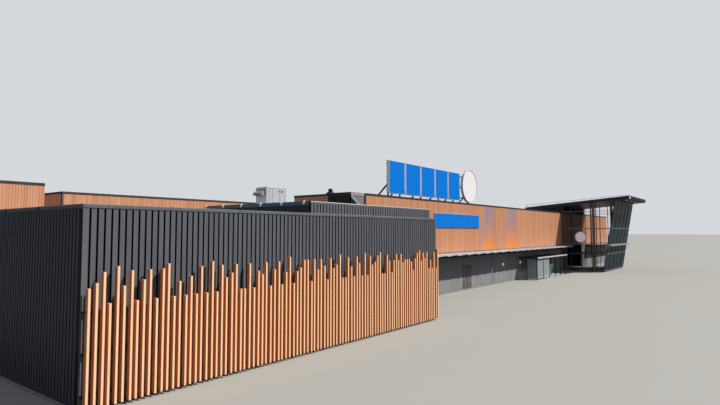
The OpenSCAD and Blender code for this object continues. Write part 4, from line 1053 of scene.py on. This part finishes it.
postStep = (frameHigh[0] - frameLow[0] - shelter["post"]) / shelter["bays"]
bayX = [frameLow[0] + shelter["post"] + i * postStep for i in (0, 1)]
clampX = [x + d for x in bayX for d in (clamp["x"][0], postStep + clamp["x"][1])]
clampY = realBox("shelter_glass")[0][1] + clamp["in"]
clamps = np.array([(x, clampY, z) for x in clampX for z in clamp["z"]])
makePiece("shelter_clamps", [(bars(clamps, clamps + clamp["size"], 0.006), "rail_steel")])
print("door fittings and shelter ready")

# Entrance: pressure caps over the joints of the glass, pale across and dark upright
caps = {"wide": 0.06, "proud": 0.03, "sideProud": 0.025, "sill": 0.13, "door": 2.4, "ledge": 3.65,
        "middle": 5.87, "upper": 8.2, "foot": 0.12, "head": 9.6, "end": 0.035, "bays": 5, "frame": 0.18}
sidePosts = {"left": (-4.47, -3.84, -2.5, -1.16, -0.03), "right": (-4.47, -3.37, -2.22, -1.12, -0.03),
             "overDoor": -2.5}
wing = {"left": 68.1, "right": 80.5, "front": -8.65, "rear": 5.2, "top": 10.18, "thick": 0.4,
        "inset": 0.03, "fall": 0.085, "fascia": 0.08, "seam": 0.62, "lining": 0.05, "sheet": 0.03,
        "strips": 12, "stripGap": 0.02}


def underZ(y):
    # underside of the wing roof at depth y
    return float(wing["top"] - wing["thick"] - wing["fall"] * (y - wing["front"]))


capWide, capOut = caps["wide"], caps["proud"]
bayEnds = np.linspace(entranceLow[0] + caps["frame"], entranceHigh[0] - caps["frame"], caps["bays"] + 1)
uprightX = [entranceLow[0] + caps["end"]] + list(bayEnds[1:-1]) + [entranceHigh[0] - caps["end"]]
capEnds = [places(uprightX, leanY(z) - lean["glass"] - capOut / 2, z) for z in (caps["foot"], caps["head"])]
frontParts = [(carryProfile(bevelled(capWide, capOut, 0.006), *capEnds, (0, -1, 0)), "dark_steel")]
for z in (caps["sill"], caps["door"], caps["middle"], caps["upper"]):
    low, high = leanY(z) - lean["glass"], leanY(z + capWide) - lean["glass"]
    outline = [(low - capOut, z), (low, z), (high, z + capWide), (high - capOut, z + capWide)]
    frontParts.append((prism("x", outline, entranceLow[0], entranceHigh[0]), "pale_caps"))
makePiece("front_glass_caps", frontParts)

sideParts = []
for side, x, out in (("left", entranceLow[0], -1), ("right", entranceHigh[0], 1)):
    near, far = sorted((x, x + out * caps["sideProud"]))
    for y in sidePosts[side]:
        low = caps["door"] + capWide if side == "left" and y == sidePosts["overDoor"] else caps["foot"]
        sideParts.append((bars((near, y - capWide / 2, low), (far, y + capWide / 2, underZ(y) - 0.02), 0.005),
                          "dark_steel"))
    for z in (caps["ledge"], caps["middle"], caps["upper"]) + ((caps["door"],) if side == "left" else ()):
        sideParts.append((bars((near, leanY(z) + 0.06, z), (far, -0.002, z + capWide), 0.005), "pale_caps"))
makePiece("side_glass_caps", sideParts)

# Plain round panel before the side glass, over the door, on two arms from a post
disc = {"y": -2.47, "z": 4.71, "radius": 0.77, "rim": 0.08, "thick": 0.1, "off": 0.06, "post": -2.53,
        "arms": (4.4, 5.02), "sides": 48}
discRear = entranceLow[0] - disc["off"]
discMiddle = (discRear, disc["y"], disc["z"])
rimIn, rimOut, rimFront = disc["radius"] - disc["rim"], disc["radius"], -disc["thick"]
arms = places(discRear - 0.01, disc["post"], disc["arms"])
makePiece("entrance_disc", [
    (turned([(hub, -0.085), (rimIn - 0.02, -0.085), (rimIn, -0.08), (rimIn, -0.02), (hub, -0.02)],
            discMiddle, "x", disc["sides"]), "opal_face"),
    (turned([(rimIn, -0.02), (rimIn, rimFront), (rimOut - 0.02, rimFront), (rimOut, rimFront + 0.02),
             (rimOut, 0.0), (hub, 0.0), (hub, -0.02)], discMiddle, "x", disc["sides"]), "casing_grey"),
    (bars(arms, arms + (disc["off"] - 0.01, 0.06, 0.06)), "dark_steel")])


def slidingLeaf(nodeName, pieceName, bodyName):
    # a frame of bevelled bars round one pane
    low, high = realBox(nodeName)
    wide, thick, lap = 0.06, 0.01, 0.01
    middle = (low[0] + high[0]) / 2
    innerY, innerZ = (low[1] + wide, high[1] - wide), (low[2] + wide, high[2] - wide)
    # the two uprights, then the bottom and the top rail
    footY, footZ = (low[1], innerY[1], innerY[0], innerY[0]), (low[2], low[2], low[2], innerZ[1])
    headY, headZ = (innerY[0], high[1], innerY[1], innerY[1]), (high[2], high[2], innerZ[0], high[2])
    rails = bars(places(low[0], footY, footZ), places(high[0], headY, headZ), 0.008)
    pane = bars((middle - thick, innerY[0] - lap, innerZ[0] - lap),
                (middle + thick, innerY[1] + lap, innerZ[1] + lap), 0.002)
    makePiece(pieceName, [(rails, "dark_steel"), (pane, "clear_glass")], body=bodyName,
              replaces=[nodeName])


slidingLeaf("sliding_leaf_front", "sliding_pane_front", "sliding_leaf_a")
slidingLeaf("sliding_leaf_rear", "sliding_pane_rear", "sliding_leaf_b")
print("entrance ready")


def slopeBand(front, rear, low, high):
    # outline between two heights above the underside, from front to rear
    return [(front, underZ(front) + low), (rear, underZ(rear) + low),
            (rear, underZ(rear) + high), (front, underZ(front) + high)]


# Wing roof: deck with standing seams, a lining of soffit strips, edge flashings and round downlights
deckFront, deckRear = wing["front"] + wing["fascia"], wing["rear"]
insetX = (wing["left"] + wing["inset"], wing["right"] - wing["inset"])
sheetLow = wing["thick"] - wing["sheet"]
wingParts = [
    (prism("x", slopeBand(deckFront, deckRear, wing["lining"], wing["thick"] / 2), *insetX), "wing_edge"),
    (prism("x", slopeBand(deckFront, deckRear, wing["thick"] / 2, sheetLow), wing["left"], wing["right"]),
     "wing_edge"),
    (prism("x", slopeBand(deckFront, deckRear, sheetLow, wing["thick"]), wing["left"], wing["right"]),
     "dark_steel")]
stripY = np.linspace(deckFront, deckRear, wing["strips"] + 1)
wingParts += [(prism("x", slopeBand(a, b - wing["stripGap"], 0.0, wing["lining"]), *insetX), "wing_edge")
              for a, b in zip(stripY[:-1], stripY[1:])]
seamX = np.arange(wing["left"] + 0.3, wing["right"] - 0.25, wing["seam"])
seamUp = wing["thick"] + 0.015
wingParts.append((carryProfile(
    bevelled(0.03, 0.04, 0.006), places(seamX, deckFront + 0.01, underZ(deckFront) + seamUp),
    places(seamX, deckRear, underZ(deckRear) + seamUp), (0, 0, 1)), "dark_steel"))
makePiece("wing_roof_sheets", wingParts, replaces=["wing_roof"])
fascia = {"thick": 0.02, "cap": 0.09, "corner": 1.0, "gap": 0.02, "low": 0.2}
fasciaLow, fasciaHigh = realBox("wing_fascia")
fasciaIn = fasciaLow[1] + fascia["thick"]
makePiece("wing_fascia_sheets", [
    (bars(fasciaLow + (0, 0.012, 0), fasciaHigh), "dark_steel"),
    (bars((fasciaLow[0], fasciaLow[1], fasciaHigh[2] - fascia["cap"]),
          (fasciaHigh[0], fasciaIn, fasciaHigh[2])), "grey_cap"),
    (bars(fasciaLow, (fasciaLow[0] + fascia["corner"], fasciaIn, fasciaHigh[2] - fascia["cap"] - 0.01)),
     "canopy_grey"),
    (bars(fasciaLow + (fascia["corner"] + fascia["gap"], 0.004, 0.02),
          (fasciaHigh[0], fasciaIn, fasciaLow[2] + fascia["low"])), "dark_steel"),
], replaces=["wing_fascia"])
lamps = {"x": (70.6, 73.6, 76.6, 79.2), "y": -7.9, "sides": 28, "profile": [
    (hub, 0.03), (0.13, 0.03), (0.15, 0.0), (0.15, -0.02), (0.12, -0.025), (hub, -0.012)]}
makePiece("soffit_lights", [
    (turned(lamps["profile"], (x, lamps["y"], underZ(lamps["y"])), "z", lamps["sides"]), "opal_lens")
    for x in lamps["x"]])
print("wing roof ready")
